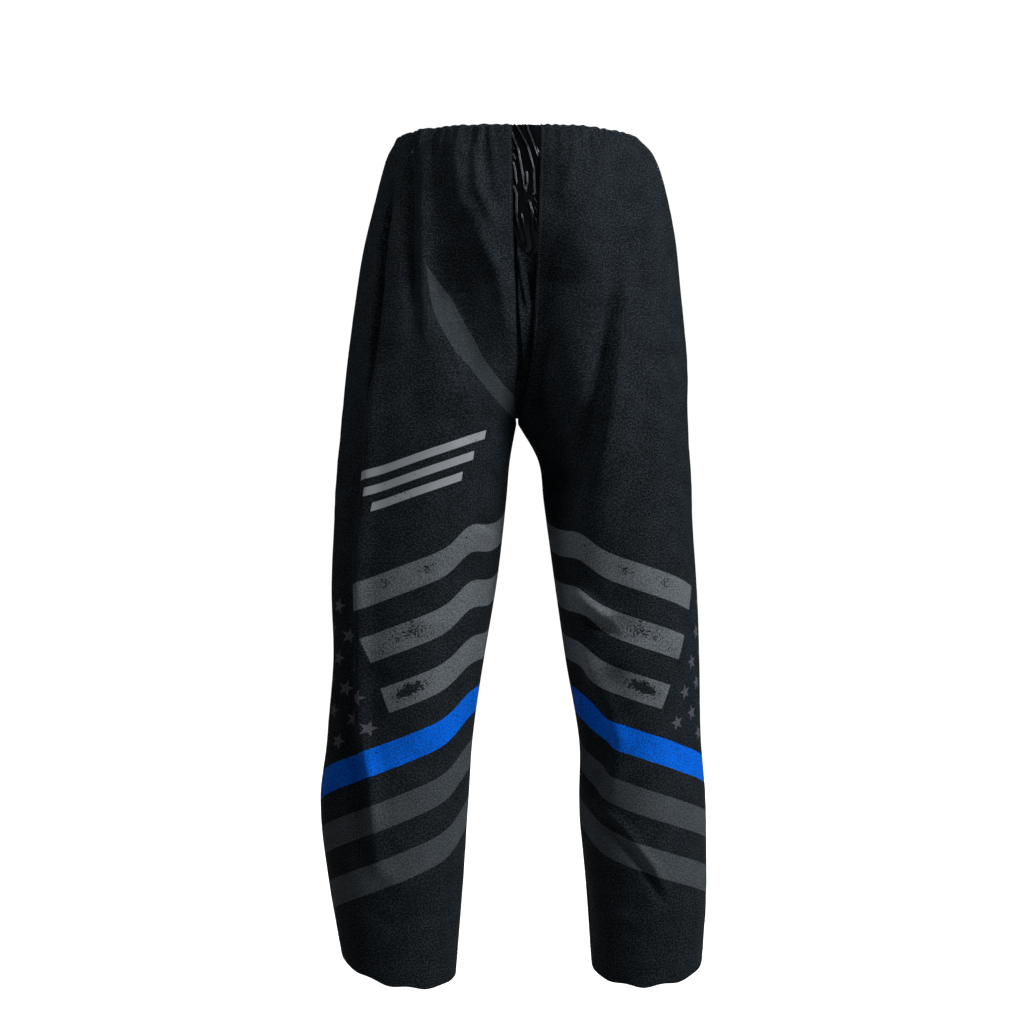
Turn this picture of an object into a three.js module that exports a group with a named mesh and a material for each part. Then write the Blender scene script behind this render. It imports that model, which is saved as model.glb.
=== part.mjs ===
/*
 * Full-length trousers for inline hockey, as they hang on a wearer: four knitted leg panels, a
 * satin gusset down the front, an elastic waist and turned-up hems.
 *
 * Units are millimetres. +Z is up, -Y is the wearer's front and +X is the wearer's left.
 * The origin is the centre of the waist opening, in the plane of the waist edge.
 *
 * Every piece is a thin shell on the same surface. A place on it is named by a side, an angle
 * around that side's section (0 at the outseam, negative in front, positive behind), a depth
 * below the outer face of the cloth, and a height.
 */
import * as THREE from 'three';

// Overall sizes.
const WAIST_WIDTH = 286;
const WAIST_DEPTH = 200;
const RISE = 341; // from the waist edge down to the crotch
const INSEAM = 644; // from the crotch down to the hem, at the axis of a leg
const HIP_LEVEL = 295; // the hip axis, below the waist edge
const KNEE_LEVEL = 613; // the knee axis, below the waist edge

// Cloth and clearances.
const CLOTH = 1.2;
const GAP = 0.3; // between faces that touch on the real garment
const LAYER_GAP = 2 * GAP; // between stacked layers that aren't faceted alike
const THREAD = 0.6;
const STITCH_WIDTH = 2;

// How far the cloth gives on each side of an axis.
const HIP_GIVE = 110;
const KNEE_GIVE = 95;

// Waist.
const ELASTIC_HEIGHT = 25;
const ELASTIC_THICKNESS = 1.6;
const CASING_DEPTH = 32; // how far the turned-in top reaches down inside
const WAIST_STITCH_LEVEL = 29;

// Gusset down the front, set a little towards the wearer's left.
const GUSSET_WIDTH = 33.6;
const GUSSET_SHIFT = 10.8;
const SATIN_END = 133; // where the satin gives way to the knitted gusset
const TUCK = 5; // how far a gusset reaches under the panels at each edge

// Seam tape, label and hems.
const SEAM_TAPE_WIDTH = 12;
const LABEL_WIDTH = 28;
const LABEL_HEIGHT = 38;
const LABEL_THICKNESS = 0.5;
const HEM_DEPTH = 22;
const HEM_STITCH_HEIGHT = 18;

// Facets around one panel, and the stations across a strip that lies over the middle.
const PANEL_FACETS = 12;
const CREASED = [-1, -0.5, 0, 0.5, 1];

/** Every value from 0 to 1 in equal steps. */
const steps = (count) => Array.from({ length: count + 1 }, (_, i) => i / count);

/** Heights from `top` down to `bottom` in equal steps. */
const levels = (top, bottom, count) => steps(count).map((t) => THREE.MathUtils.lerp(top, bottom, t));

/** A smooth curve through [height, value] stations, given from the top down. */
function profile(stations) {
  const slope = stations.map((_, i) => {
    const [z0, a] = stations[Math.max(i - 1, 0)];
    const [z1, b] = stations[Math.min(i + 1, stations.length - 1)];
    return (b - a) / (z1 - z0);
  });
  return (z) => {
    const last = stations.length - 2;
    const found = stations.findIndex(([station]) => station <= z) - 1;
    const i = z <= stations.at(-1)[0] ? last : THREE.MathUtils.clamp(found, 0, last);
    const [z0, a] = stations[i];
    const [z1, b] = stations[i + 1];
    const t = THREE.MathUtils.clamp((z - z0) / (z1 - z0), 0, 1);
    const rise = (z1 - z0) * t * (1 - t);
    return a + (b - a) * t * t * (3 - 2 * t) + rise * ((1 - t) * slope[i] - t * slope[i + 1]);
  };
}

/** A profile with its stations as shares of the rise, and then as shares of the inseam. */
function outline(base, seat, leg = []) {
  return profile([
    ...seat.map(([share, value]) => [-RISE * share, base + value]),
    ...leg.map(([share, value]) => [-RISE - INSEAM * share, base + value]),
  ]);
}

// Half depths of the section, in front of and behind the middle of the body.
const frontDepth = outline(
  WAIST_DEPTH / 2,
  [[0, 0], [0.3, 6], [0.7, 9], [1, 4]],
  [[0.14, -4], [0.29, -13], [0.44, -20], [0.59, -23], [0.7, -23], [0.85, -28], [1, -33]],
);
const backDepth = outline(
  WAIST_DEPTH / 2,
  [[0, 0], [0.3, 12], [0.65, 20], [1, 8]],
  [[0.14, -2], [0.29, -12], [0.44, -20], [0.59, -20], [0.7, -18], [0.85, -26], [1, -33]],
);

// The gusset's half width and its centre line, as shares of the width and the shift.
const gussetTaper = outline(0, [[0, 1], [0.39, 0.857], [0.78, 0.5], [0.9, 0.3], [1, 0]]);
const gussetDrift = outline(0, [[0, 1], [0.39, 0.89], [0.78, 0.78], [0.9, 0.3], [1, 0]]);
const gussetHalfWidth = (z) => (gussetTaper(z) * GUSSET_WIDTH) / 2;
const gussetCentre = (z) => gussetDrift(z) * GUSSET_SHIFT;

// Heights where one stretch of a panel ends and the next starts.
const SEAT_END = -(HIP_LEVEL - HIP_GIVE);
const CROTCH = -RISE;
const HIP_END = -(HIP_LEVEL + HIP_GIVE);
const THIGH_END = -(KNEE_LEVEL - KNEE_GIVE);
const KNEE_END = -(KNEE_LEVEL + KNEE_GIVE);
const HEM = -(RISE + INSEAM);

/**
 * One side of the trousers. `outer` and `inner` are the distances of the section's two ends
 * from the middle of the body. Above the crotch the inner end lies past the middle, which is
 * where the two sides cut each other off along the crotch seam.
 */
function makeSide({ sign, outer, inner, gussetEdge, hemTiltX, hemTiltY }) {
  const crotchRatio = (z) => {
    const drop = THREE.MathUtils.clamp((SEAT_END - z) / (SEAT_END - CROTCH), 0, 1);
    const reach = Math.sqrt(1 - drop * drop);
    return reach === 0 ? 0 : ((1 - Math.sqrt(1 - reach * reach)) / reach) ** 2;
  };
  return {
    sign,
    outer,
    inner: (z) => (z > CROTCH ? -crotchRatio(z) * outer(z) : inner(z)),
    gussetEdge: (z) => Math.max(0, gussetEdge(z)),
    hemTiltX,
    hemTiltY,
  };
}

const RIGHT = makeSide({
  sign: -1,
  outer: outline(
    WAIST_WIDTH / 2,
    [[0, 0], [0.07, 13], [0.22, 27], [0.5, 46.5], [0.78, 60], [1, 67]],
    [[0.14, 74], [0.29, 79], [0.44, 76.5], [0.59, 85], [0.7, 93], [0.85, 84], [1, 68]],
  ),
  inner: outline(
    0,
    [[1, 0]],
    [[0.07, 8], [0.14, 12], [0.29, 23], [0.44, 39.5], [0.59, 53], [0.7, 58], [0.85, 65], [1, 73]],
  ),
  gussetEdge: (z) => gussetHalfWidth(z) - gussetCentre(z),
  hemTiltX: 0.19,
  hemTiltY: 0.25,
});

const LEFT = makeSide({
  sign: 1,
  outer: outline(
    WAIST_WIDTH / 2,
    [[0, 0], [0.07, 22], [0.22, 38], [0.5, 51.5], [0.78, 60], [1, 62]],
    [[0.14, 66], [0.29, 72], [0.44, 75.5], [0.59, 76.5], [0.7, 82.5], [0.85, 84], [1, 79]],
  ),
  inner: outline(
    0,
    [[1, 0]],
    [[0.07, 25], [0.14, 32], [0.29, 44.5], [0.44, 57.5], [0.59, 74], [0.7, 74.5], [0.85, 81.5], [1, 89]],
  ),
  gussetEdge: (z) => gussetHalfWidth(z) + gussetCentre(z),
  hemTiltX: 0.05,
  hemTiltY: 0.25,
});

/** The angle, from the outseam, at which a side's section stands `x` from the middle. */
function angleAt(side, x, z) {
  const middle = (side.outer(z) + side.inner(z)) / 2;
  const halfWidth = (side.outer(z) - side.inner(z)) / 2;
  return Math.acos(THREE.MathUtils.clamp((x - middle) / halfWidth, -1, 1));
}

/** The point `inset` below the outer face of the cloth. The hem's plane is tilted. */
function shellPoint(side, angle, inset, z) {
  const middle = (side.outer(z) + side.inner(z)) / 2;
  const halfWidth = (side.outer(z) - side.inner(z)) / 2;
  const halfDepth = angle < 0 ? frontDepth(z) : backDepth(z);
  const normal = new THREE.Vector2(Math.cos(angle) * halfDepth, Math.sin(angle) * halfWidth).normalize();
  const x = middle + halfWidth * Math.cos(angle) - normal.x * inset;
  const y = halfDepth * Math.sin(angle) - normal.y * inset;
  const down = Math.max(0, (KNEE_END - z) / (KNEE_END - HEM));
  const hemMiddle = (side.outer(HEM) + side.inner(HEM)) / 2;
  const tilt = down * down * (side.hemTiltX * (x - hemMiddle) + side.hemTiltY * y);
  return new THREE.Vector3(side.sign * (x + GAP / 2), y, z + tilt);
}

/**
 * The point of the front or the back that stands `x` to the wearer's left of the middle. In the
 * middle, where the two sides can meet in a crease, the inset runs straight in.
 */
function facePoint(x, inset, z, face) {
  const side = x < 0 ? RIGHT : LEFT;
  const angle = face * angleAt(side, Math.abs(x), z);
  if (x !== 0) {
    return shellPoint(side, angle, inset, z);
  }
  return new THREE.Vector3(0, shellPoint(side, angle, 0, z).y - face * inset, z);
}

/**
 * A closed solid: a section carried past a list of stations, each a function of (inset, height).
 * The section is a ribbon, given as pairs of [inset, height] corners that face each other across
 * the cloth. An open run of stations is capped at both ends. The two faces of the cloth are split
 * along matching diagonals, so that they stay apart where the surface twists.
 */
function sweep(stations, ribbon, closed = false) {
  const section = [...ribbon.map(([near]) => near), ...ribbon.map(([, far]) => far).reverse()];
  const corners = section.length;
  const positions = stations.flatMap((at) => section.flatMap(([inset, z]) => at(inset, z).toArray()));
  const index = [];
  const addQuad = (a, b, c, d) => index.push(a, b, c, a, c, d);
  const runs = closed ? stations.length : stations.length - 1;
  for (let i = 0; i < runs; i += 1) {
    const here = i * corners;
    const next = ((i + 1) % stations.length) * corners;
    for (let j = 0; j < corners; j += 1) {
      const k = (j + 1) % corners;
      if (j >= ribbon.length) {
        addQuad(here + j, here + k, next + k, next + j);
      } else {
        addQuad(here + k, next + k, next + j, here + j);
      }
    }
  }
  if (!closed) {
    const end = runs * corners;
    for (let j = 0; j < ribbon.length - 1; j += 1) {
      const across = corners - 1 - j;
      addQuad(j, across, across - 1, j + 1);
      addQuad(end + j, end + j + 1, end + across - 1, end + across);
    }
  }
  const geometry = new THREE.BufferGeometry();
  geometry.setAttribute('position', new THREE.Float32BufferAttribute(positions, 3));
  geometry.setIndex(volume(positions, index) < 0 ? index.reverse() : index);
  return geometry;
}

/** Six times the signed volume inside an indexed surface. */
function volume(positions, index) {
  const corner = (i) => new THREE.Vector3().fromArray(positions, 3 * i);
  let total = 0;
  for (let i = 0; i < index.length; i += 3) {
    const [a, b, c] = [corner(index[i]), corner(index[i + 1]), corner(index[i + 2])];
    total += a.dot(b.cross(c));
  }
  return total;
}

/** The section of a plain layer between two depths. */
function layer(heights, inset = 0, thickness = CLOTH) {
  return heights.map((z) => [[inset, z], [inset + thickness, z]]);
}

/** The section of a layer whose top turns in over the elastic, down to the casing's depth. */
function casing(heights, inset, innerFace) {
  const [top, ...below] = heights;
  return [
    [[innerFace, -CASING_DEPTH], [innerFace - CLOTH, -CASING_DEPTH]],
    [[innerFace, top], [innerFace - CLOTH, top - CLOTH]],
    [[inset, top], [inset + CLOTH, top - CLOTH]],
    ...layer(below, inset),
  ];
}

/** The section of a layer whose bottom turns up inside as a hem. */
function hemmed(heights) {
  const turned = 2 * CLOTH + GAP;
  return [
    ...layer(heights.slice(0, -1)),
    [[0, HEM], [CLOTH, HEM + CLOTH]],
    [[turned, HEM], [turned - CLOTH, HEM + CLOTH]],
    [[turned, HEM + HEM_DEPTH], [turned - CLOTH, HEM + HEM_DEPTH]],
  ];
}

/** The stations around one panel, between the outseam and the centre seam or the inseam. */
function panelStations(side, face) {
  return steps(PANEL_FACETS).map((t) => (inset, z) => {
    const halfGap = GAP / 2 / (face < 0 ? frontDepth(z) : backDepth(z));
    const edge = angleAt(side, face < 0 ? side.gussetEdge(z) : 0, z);
    const far = Math.min(edge, Math.PI - halfGap);
    return shellPoint(side, face * THREE.MathUtils.lerp(halfGap, far, t), inset, z);
  });
}

/** The stations of the gusset, from under one panel's edge to under the other's. */
function gussetStations(tuck = TUCK) {
  return CREASED.map((t) => (inset, z) => {
    const side = t < 0 ? RIGHT : LEFT;
    return facePoint(t * (side.gussetEdge(z) + tuck), inset, z, -1);
  });
}

/** The stations of a strip of the given width down the middle of the back. */
function backStripStations(width) {
  return CREASED.map((t) => (inset, z) => facePoint((t * width) / 2, inset, z, 1));
}

/** The stations all the way around the waist. */
function waistStations() {
  const rightFront = panelStations(RIGHT, -1);
  const leftFront = panelStations(LEFT, -1);
  const rightBack = panelStations(RIGHT, 1);
  const leftBack = panelStations(LEFT, 1);
  return [
    ...rightFront.toReversed(),
    ...rightBack.slice(1, -1),
    ...leftBack.slice(1).toReversed(),
    ...leftFront,
    ...gussetStations(0).slice(1, -1).toReversed(),
  ];
}

/** The stations all the way around one leg below the crotch. */
function legStations(side) {
  return [...panelStations(side, -1), ...panelStations(side, 1).slice(1, -1).toReversed()];
}

/** The stations of a line of stitches along a gusset edge, on the panel beside it. */
function edgeStitchStations(side) {
  return [1.5, 1.5 + STITCH_WIDTH].map((from) => (inset, z) => {
    const angle = angleAt(side, side.gussetEdge(z) + from, z);
    return shellPoint(side, -angle, inset, z);
  });
}

const KNIT = new THREE.MeshStandardMaterial({ color: 0x14181c, roughness: 0.85, metalness: 0 });
const SATIN = new THREE.MeshStandardMaterial({ color: 0x0e0f12, roughness: 0.35, metalness: 0 });
const RUBBER = new THREE.MeshStandardMaterial({ color: 0x26282b, roughness: 0.8, metalness: 0 });
const SEWING_THREAD = new THREE.MeshStandardMaterial({ color: 0x5a6068, roughness: 0.6, metalness: 0 });
const LABEL = new THREE.MeshStandardMaterial({ color: 0xd6d6d2, roughness: 0.7, metalness: 0 });

const trousers = new THREE.Group();

/** Adds one named piece. */
function add(name, geometry, material) {
  const piece = new THREE.Mesh(geometry, material);
  piece.name = name;
  trousers.add(piece);
}

// Depths of the layers at the waist, from the outer face inwards.
const GUSSET_INSET = CLOTH + LAYER_GAP;
const ELASTIC_INSET = GUSSET_INSET + CLOTH + LAYER_GAP;
const GUSSET_INNER_FACE = ELASTIC_INSET + ELASTIC_THICKNESS + LAYER_GAP + CLOTH;
const PANEL_INNER_FACE = GUSSET_INNER_FACE + LAYER_GAP + CLOTH;
const GUSSET_TOP = -(CLOTH + GAP);
const ELASTIC_TOP = GUSSET_TOP - CLOTH - GAP;

// Heights of the facets of each stretch. A gap parts each stretch from the next.
const SEAT_LEVELS = [
  ...levels(0, -CASING_DEPTH, 2),
  ...levels(-CASING_DEPTH, SEAT_END + GAP / 2, 4).slice(1),
];
const HIP_LEVELS = [
  ...levels(SEAT_END - GAP / 2, CROTCH, 6),
  ...levels(CROTCH, HIP_END + GAP / 2, 3).slice(1),
];
const THIGH_LEVELS = levels(HIP_END - GAP / 2, THIGH_END + GAP / 2, 4);
const KNEE_LEVELS = levels(THIGH_END - GAP / 2, KNEE_END + GAP / 2, 6);
const SHIN_LEVELS = levels(KNEE_END - GAP / 2, HEM, 8);

/** One panel from waist to hem, in the five lengths that the hip and the knee divide it into. */
function addPanel(name, side, face) {
  const around = panelStations(side, face);
  add(`${name}_seat`, sweep(around, casing(SEAT_LEVELS, 0, PANEL_INNER_FACE)), KNIT);
  add(`${name}_hip`, sweep(around, layer(HIP_LEVELS)), KNIT);
  add(`${name}_thigh`, sweep(around, layer(THIGH_LEVELS)), KNIT);
  add(`${name}_knee`, sweep(around, layer(KNEE_LEVELS)), KNIT);
  add(`${name}_shin`, sweep(around, hemmed(SHIN_LEVELS)), KNIT);
}

/** The satin gusset, and the knitted one that carries on below it towards the crotch. */
function addGussets() {
  const satinLevels = [GUSSET_TOP, ...levels(-CASING_DEPTH, -SATIN_END + GAP / 2, 4)];
  const satin = casing(satinLevels, GUSSET_INSET, GUSSET_INNER_FACE);
  add('front_gusset', sweep(gussetStations(), satin), SATIN);
  const lower = [-SATIN_END - GAP / 2, SEAT_END, ...HIP_LEVELS.slice(1, 5)];
  add('lower_gusset', sweep(gussetStations(), layer(lower, GUSSET_INSET)), KNIT);
}

/** The band of elastic in the casing, and the stitching that shuts it in. */
function addWaist() {
  const band = layer([ELASTIC_TOP, ELASTIC_TOP - ELASTIC_HEIGHT], ELASTIC_INSET, ELASTIC_THICKNESS);
  add('waist_elastic', sweep(waistStations(), band, true), RUBBER);
  const stitches = [-WAIST_STITCH_LEVEL + STITCH_WIDTH / 2, -WAIST_STITCH_LEVEL - STITCH_WIDTH / 2];
  add('waist_stitching', sweep(waistStations(), layer(stitches, -GAP - THREAD, THREAD), true), SEWING_THREAD);
}

/** The tape behind the centre back seam, and the blank label sewn in above it. */
function addBackSeam() {
  const tapeLevels = [...levels(-CASING_DEPTH - GAP, SEAT_END, 4), ...HIP_LEVELS.slice(1, 5)];
  const tape = layer(tapeLevels, GUSSET_INSET);
  add('centre_back_seam_tape', sweep(backStripStations(SEAM_TAPE_WIDTH), tape), KNIT);
  const labelInset = PANEL_INNER_FACE + GAP;
  const label = layer([-CLOTH - GAP, -CLOTH - GAP - LABEL_HEIGHT], labelInset, LABEL_THICKNESS);
  add('size_label', sweep(backStripStations(LABEL_WIDTH), label), LABEL);
}

/** The stitching around one hem. */
function addHemStitching(name, side) {
  const centre = HEM + HEM_STITCH_HEIGHT;
  const band = layer([centre + STITCH_WIDTH / 2, centre - STITCH_WIDTH / 2], -GAP - THREAD, THREAD);
  add(name, sweep(legStations(side), band, true), SEWING_THREAD);
}

/** The stitching beside the satin, down one panel's edge. */
function addGussetStitching(name, side) {
  const from = -WAIST_STITCH_LEVEL - STITCH_WIDTH;
  const line = layer(levels(from, -SATIN_END, 4), -GAP - THREAD, THREAD);
  add(name, sweep(edgeStitchStations(side), line), SEWING_THREAD);
}

addPanel('right_front', RIGHT, -1);
addPanel('right_back', RIGHT, 1);
addPanel('left_front', LEFT, -1);
addPanel('left_back', LEFT, 1);
addGussets();
addWaist();
addBackSeam();
addGussetStitching('right_gusset_stitching', RIGHT);
addGussetStitching('left_gusset_stitching', LEFT);
addHemStitching('right_hem_stitching', RIGHT);
addHemStitching('left_hem_stitching', LEFT);

export default trousers;
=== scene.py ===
"""Full-length hockey trousers: the cloth, stitching, print and studio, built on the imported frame.

The panels, gussets, seams and hems all lie on one form, the shape that the trousers hang in. A
place on the form is named by a side, a face, an angle around that side's section (0 at the
outseam), a height, and an inset below the outer face of the cloth. Lengths are in metres, +Z is
up, -Y is the wearer's front and +X is the wearer's left.
"""

import logging
import math
from dataclasses import dataclass, field
from enum import Enum

import bpy
import numpy as np
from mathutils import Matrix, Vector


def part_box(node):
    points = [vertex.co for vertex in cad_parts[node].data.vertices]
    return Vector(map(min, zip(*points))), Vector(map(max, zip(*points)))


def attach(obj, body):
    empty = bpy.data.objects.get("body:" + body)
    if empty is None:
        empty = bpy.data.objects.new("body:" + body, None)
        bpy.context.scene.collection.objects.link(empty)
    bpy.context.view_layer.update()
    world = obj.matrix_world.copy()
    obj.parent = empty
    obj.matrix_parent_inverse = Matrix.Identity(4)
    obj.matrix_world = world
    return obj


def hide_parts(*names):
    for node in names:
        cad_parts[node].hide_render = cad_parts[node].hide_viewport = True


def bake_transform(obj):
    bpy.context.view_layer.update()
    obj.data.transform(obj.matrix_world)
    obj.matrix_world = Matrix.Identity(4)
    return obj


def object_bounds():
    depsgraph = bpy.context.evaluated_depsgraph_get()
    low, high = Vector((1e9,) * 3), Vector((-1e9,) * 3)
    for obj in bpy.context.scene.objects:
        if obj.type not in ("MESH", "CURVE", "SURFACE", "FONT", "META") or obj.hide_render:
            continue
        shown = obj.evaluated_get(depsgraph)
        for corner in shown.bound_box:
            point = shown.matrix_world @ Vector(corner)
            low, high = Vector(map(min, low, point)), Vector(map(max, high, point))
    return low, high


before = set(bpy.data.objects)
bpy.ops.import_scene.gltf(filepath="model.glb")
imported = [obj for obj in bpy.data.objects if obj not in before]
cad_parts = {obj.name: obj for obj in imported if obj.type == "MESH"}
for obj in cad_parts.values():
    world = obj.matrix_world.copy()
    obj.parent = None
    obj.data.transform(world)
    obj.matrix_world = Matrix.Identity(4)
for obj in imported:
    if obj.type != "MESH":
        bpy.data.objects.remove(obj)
CAD_BOX = [list(corner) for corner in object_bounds()]

LOG = logging.getLogger("hockey_trousers")
Array = np.ndarray
Socket = bpy.types.NodeSocket
Points = tuple[tuple[float, float], ...]


class Side(Enum):
    """The wearer's two sides; the value is the sign of X."""

    RIGHT = -1
    LEFT = 1

    @property
    def word(self) -> str:
        """The side's name as the frame's nodes spell it."""
        return self.name.lower()


class Face(Enum):
    """The front and the back; the value is the sign of Y."""

    FRONT = -1
    BACK = 1

    @property
    def word(self) -> str:
        """The face's name as the frame's nodes spell it."""
        return self.name.lower()


class Relief(Enum):
    """The shape of a crease across its line."""

    RIDGE = "ridge"
    VALLEY = "valley"
    LEDGE = "ledge"
    SWELL = "swell"


def smooth(t: Array) -> Array:
    """Eases from 0 to 1: t squared times (3 - 2t), with t held between 0 and 1."""
    t = np.clip(t, 0.0, 1.0)
    return t * t * (3 - 2 * t)


def bell(distance: Array, width: float) -> Array:
    """A bump of height 1: exp of minus (distance / width) squared."""
    return np.exp(-((distance / width) ** 2))


# ---------------------------------------------------------------------------------------------
# The form
# ---------------------------------------------------------------------------------------------


@dataclass(frozen=True)
class Outline:
    """A smooth length over height, through stations of (depth below the waist, length)."""

    stations: Points

    def at(self, z: Array) -> Array:
        """Cubic Hermite spans, whose slope at a station is that of its two neighbours.

        Args:
            z: heights, which are negative below the waist.

        Returns:
            The length at each height.
        """
        depth, value = np.array(self.stations).T
        index = np.arange(len(depth))
        before, after = np.maximum(index - 1, 0), np.minimum(index + 1, len(depth) - 1)
        slope = (value[after] - value[before]) / (depth[after] - depth[before])
        at = np.clip(-np.asarray(z, float), depth[0], depth[-1])
        i = np.clip(np.searchsorted(depth, at, side="right") - 1, 0, len(depth) - 2)
        span = depth[i + 1] - depth[i]
        t = (at - depth[i]) / span
        bend = span * t * (1 - t) * ((1 - t) * slope[i] - t * slope[i + 1])
        return value[i] + (value[i + 1] - value[i]) * t * t * (3 - 2 * t) + bend


@dataclass(frozen=True)
class Form:
    """The shape that the trousers hang in, with the frame's own sizes."""

    rise: float = 0.341
    inseam: float = 0.644
    half_waist: float = 0.143
    half_waist_depth: float = 0.100
    gusset_half_width: float = 0.0168
    gusset_shift: float = 0.0108
    seat_end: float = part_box("right_front_hip")[1].z
    knee_end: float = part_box("right_front_knee")[0].z
    front_seat: Points = ((0, 0), (0.3, 0.006), (0.7, 0.009), (1, 0.004))
    front_leg: Points = (
        (0.14, -0.004), (0.29, -0.013), (0.44, -0.020), (0.59, -0.023), (0.7, -0.023),
        (0.85, -0.028), (1, -0.033),
    )
    back_seat: Points = ((0, 0), (0.3, 0.012), (0.65, 0.020), (1, 0.008))
    back_leg: Points = (
        (0.14, -0.002), (0.29, -0.012), (0.44, -0.020), (0.59, -0.020), (0.7, -0.018),
        (0.85, -0.026), (1, -0.033),
    )
    right_outer_seat: Points = (
        (0, 0), (0.07, 0.013), (0.22, 0.027), (0.5, 0.0465), (0.78, 0.060), (1, 0.067),
    )
    right_outer_leg: Points = (
        (0.14, 0.074), (0.29, 0.079), (0.44, 0.0765), (0.59, 0.085), (0.7, 0.093),
        (0.85, 0.084), (1, 0.068),
    )
    left_outer_seat: Points = (
        (0, 0), (0.07, 0.022), (0.22, 0.038), (0.5, 0.0515), (0.78, 0.060), (1, 0.062),
    )
    left_outer_leg: Points = (
        (0.14, 0.066), (0.29, 0.072), (0.44, 0.0755), (0.59, 0.0765), (0.7, 0.0825),
        (0.85, 0.084), (1, 0.079),
    )
    right_inner_leg: Points = (
        (0.07, 0.008), (0.14, 0.012), (0.29, 0.023), (0.44, 0.0395), (0.59, 0.053),
        (0.7, 0.058), (0.85, 0.065), (1, 0.073),
    )
    left_inner_leg: Points = (
        (0.07, 0.025), (0.14, 0.032), (0.29, 0.0445), (0.44, 0.0575), (0.59, 0.074),
        (0.7, 0.0745), (0.85, 0.0815), (1, 0.089),
    )
    gusset_taper: Points = ((0, 1), (0.39, 0.857), (0.78, 0.5), (0.9, 0.3), (1, 0))
    gusset_drift: Points = ((0, 1), (0.39, 0.89), (0.78, 0.78), (0.9, 0.3), (1, 0))
    hem_tilt_x: Points = ((-1, 0.19), (1, 0.05))
    hem_tilt_y: float = 0.25

    @property
    def hem(self) -> float:
        """The height of the hem at the axis of a leg."""
        return -(self.rise + self.inseam)

    def _outline(self, base: float, seat: Points, leg: Points = ()) -> Outline:
        """Joins stations given as shares of the rise to stations given as shares of the inseam."""
        upper = [(self.rise * share, base + value) for share, value in seat]
        lower = [(self.rise + self.inseam * share, base + value) for share, value in leg]
        return Outline(tuple(upper + lower))

    def depth(self, face: Face, z: Array) -> Array:
        """The section's half depth in front or behind."""
        seat = self.front_seat if face is Face.FRONT else self.back_seat
        leg = self.front_leg if face is Face.FRONT else self.back_leg
        return self._outline(self.half_waist_depth, seat, leg).at(z)

    def outer(self, side: Side, z: Array) -> Array:
        """How far the outseam stands from the middle of the body."""
        right = side is Side.RIGHT
        seat = self.right_outer_seat if right else self.left_outer_seat
        leg = self.right_outer_leg if right else self.left_outer_leg
        return self._outline(self.half_waist, seat, leg).at(z)

    def inner(self, side: Side, z: Array) -> Array:
        """How far the section's inner end stands from the middle.

        Above the crotch it lies past the middle, so that the two sides cut each other off along
        a crotch seam that runs as a half ellipse from front to back.
        """
        leg = self.right_inner_leg if side is Side.RIGHT else self.left_inner_leg
        below = self._outline(0.0, ((1, 0),), leg).at(z)
        drop = np.clip((self.seat_end - z) / (self.seat_end + self.rise), 0, 1)
        reach = np.maximum(np.sqrt(1 - drop * drop), 1e-9)
        ratio = ((1 - np.sqrt(1 - reach * reach)) / reach) ** 2
        return np.where(z > -self.rise, -ratio * self.outer(side, z), below)

    def gusset_edge(self, side: Side, z: Array) -> Array:
        """How far a side's front panel edge stands from the middle, beside the gusset."""
        half = self._outline(0.0, self.gusset_taper).at(z) * self.gusset_half_width
        centre = self._outline(0.0, self.gusset_drift).at(z) * self.gusset_shift
        return np.maximum(0.0, half + side.value * centre)

    def angle_at(self, side: Side, x: Array, z: Array) -> Array:
        """The angle from the outseam at which the section stands x from the middle."""
        outer, inner = self.outer(side, z), self.inner(side, z)
        return np.arccos(np.clip((2 * x - outer - inner) / (outer - inner), -1, 1))

    def far_angle(self, side: Side, face: Face, z: Array) -> Array:
        """The angle of a panel's inner edge: at the gusset, the centre seam or the inseam."""
        edge = self.gusset_edge(side, z) if face is Face.FRONT else np.zeros_like(z)
        return self.angle_at(side, edge, z)

    def point(self, side: Side, face: Face, angle: Array, z: Array) -> tuple[Array, Array]:
        """A point of the outer face, and the section's outward normal there.

        The section is an ellipse: x runs with the cosine of the angle and y with its sine. Below
        the knee the height is tilted more and more, up to the slanted plane of the hem.

        Args:
            side: the wearer's side.
            face: front or back.
            angle: angles from the outseam, which broadcast with z.
            z: heights.

        Returns:
            Arrays of points and of unit normals, with x, y, z last.
        """
        outer, inner = self.outer(side, z), self.inner(side, z)
        middle, half = (outer + inner) / 2, (outer - inner) / 2
        depth = self.depth(face, z)
        x = middle + half * np.cos(angle)
        y = face.value * depth * np.sin(angle)
        nx, ny = np.cos(angle) * depth, face.value * np.sin(angle) * half
        size = np.hypot(nx, ny)
        hem_height = np.array([self.hem])
        hem_middle = (self.outer(side, hem_height) + self.inner(side, hem_height)) / 2
        down = np.clip((self.knee_end - z) / (self.knee_end - self.hem), 0, None)
        tilt = dict(self.hem_tilt_x)[side.value] * (x - hem_middle) + self.hem_tilt_y * y
        shape = np.broadcast(x, y, z)
        place = np.empty(shape.shape + (3,))
        normal = np.zeros(shape.shape + (3,))
        place[..., 0], place[..., 1], place[..., 2] = side.value * x, y, z + down * down * tilt
        normal[..., 0], normal[..., 1] = side.value * nx / size, ny / size
        return place, normal


# ---------------------------------------------------------------------------------------------
# The folds
# ---------------------------------------------------------------------------------------------


# A ledge's distance times its bell is at most 1 / 2.33, so this makes its height true.
LEDGE_GAIN = 2.33
# The wider bell beside a ridge or valley: its depth as a share, and its width in widths.
SKIRT_DEPTH, SKIRT_WIDTH = 0.3, 2.2
# The most of a crease's length that each end may take to die away.
LONGEST_FADE = 0.45


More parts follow.
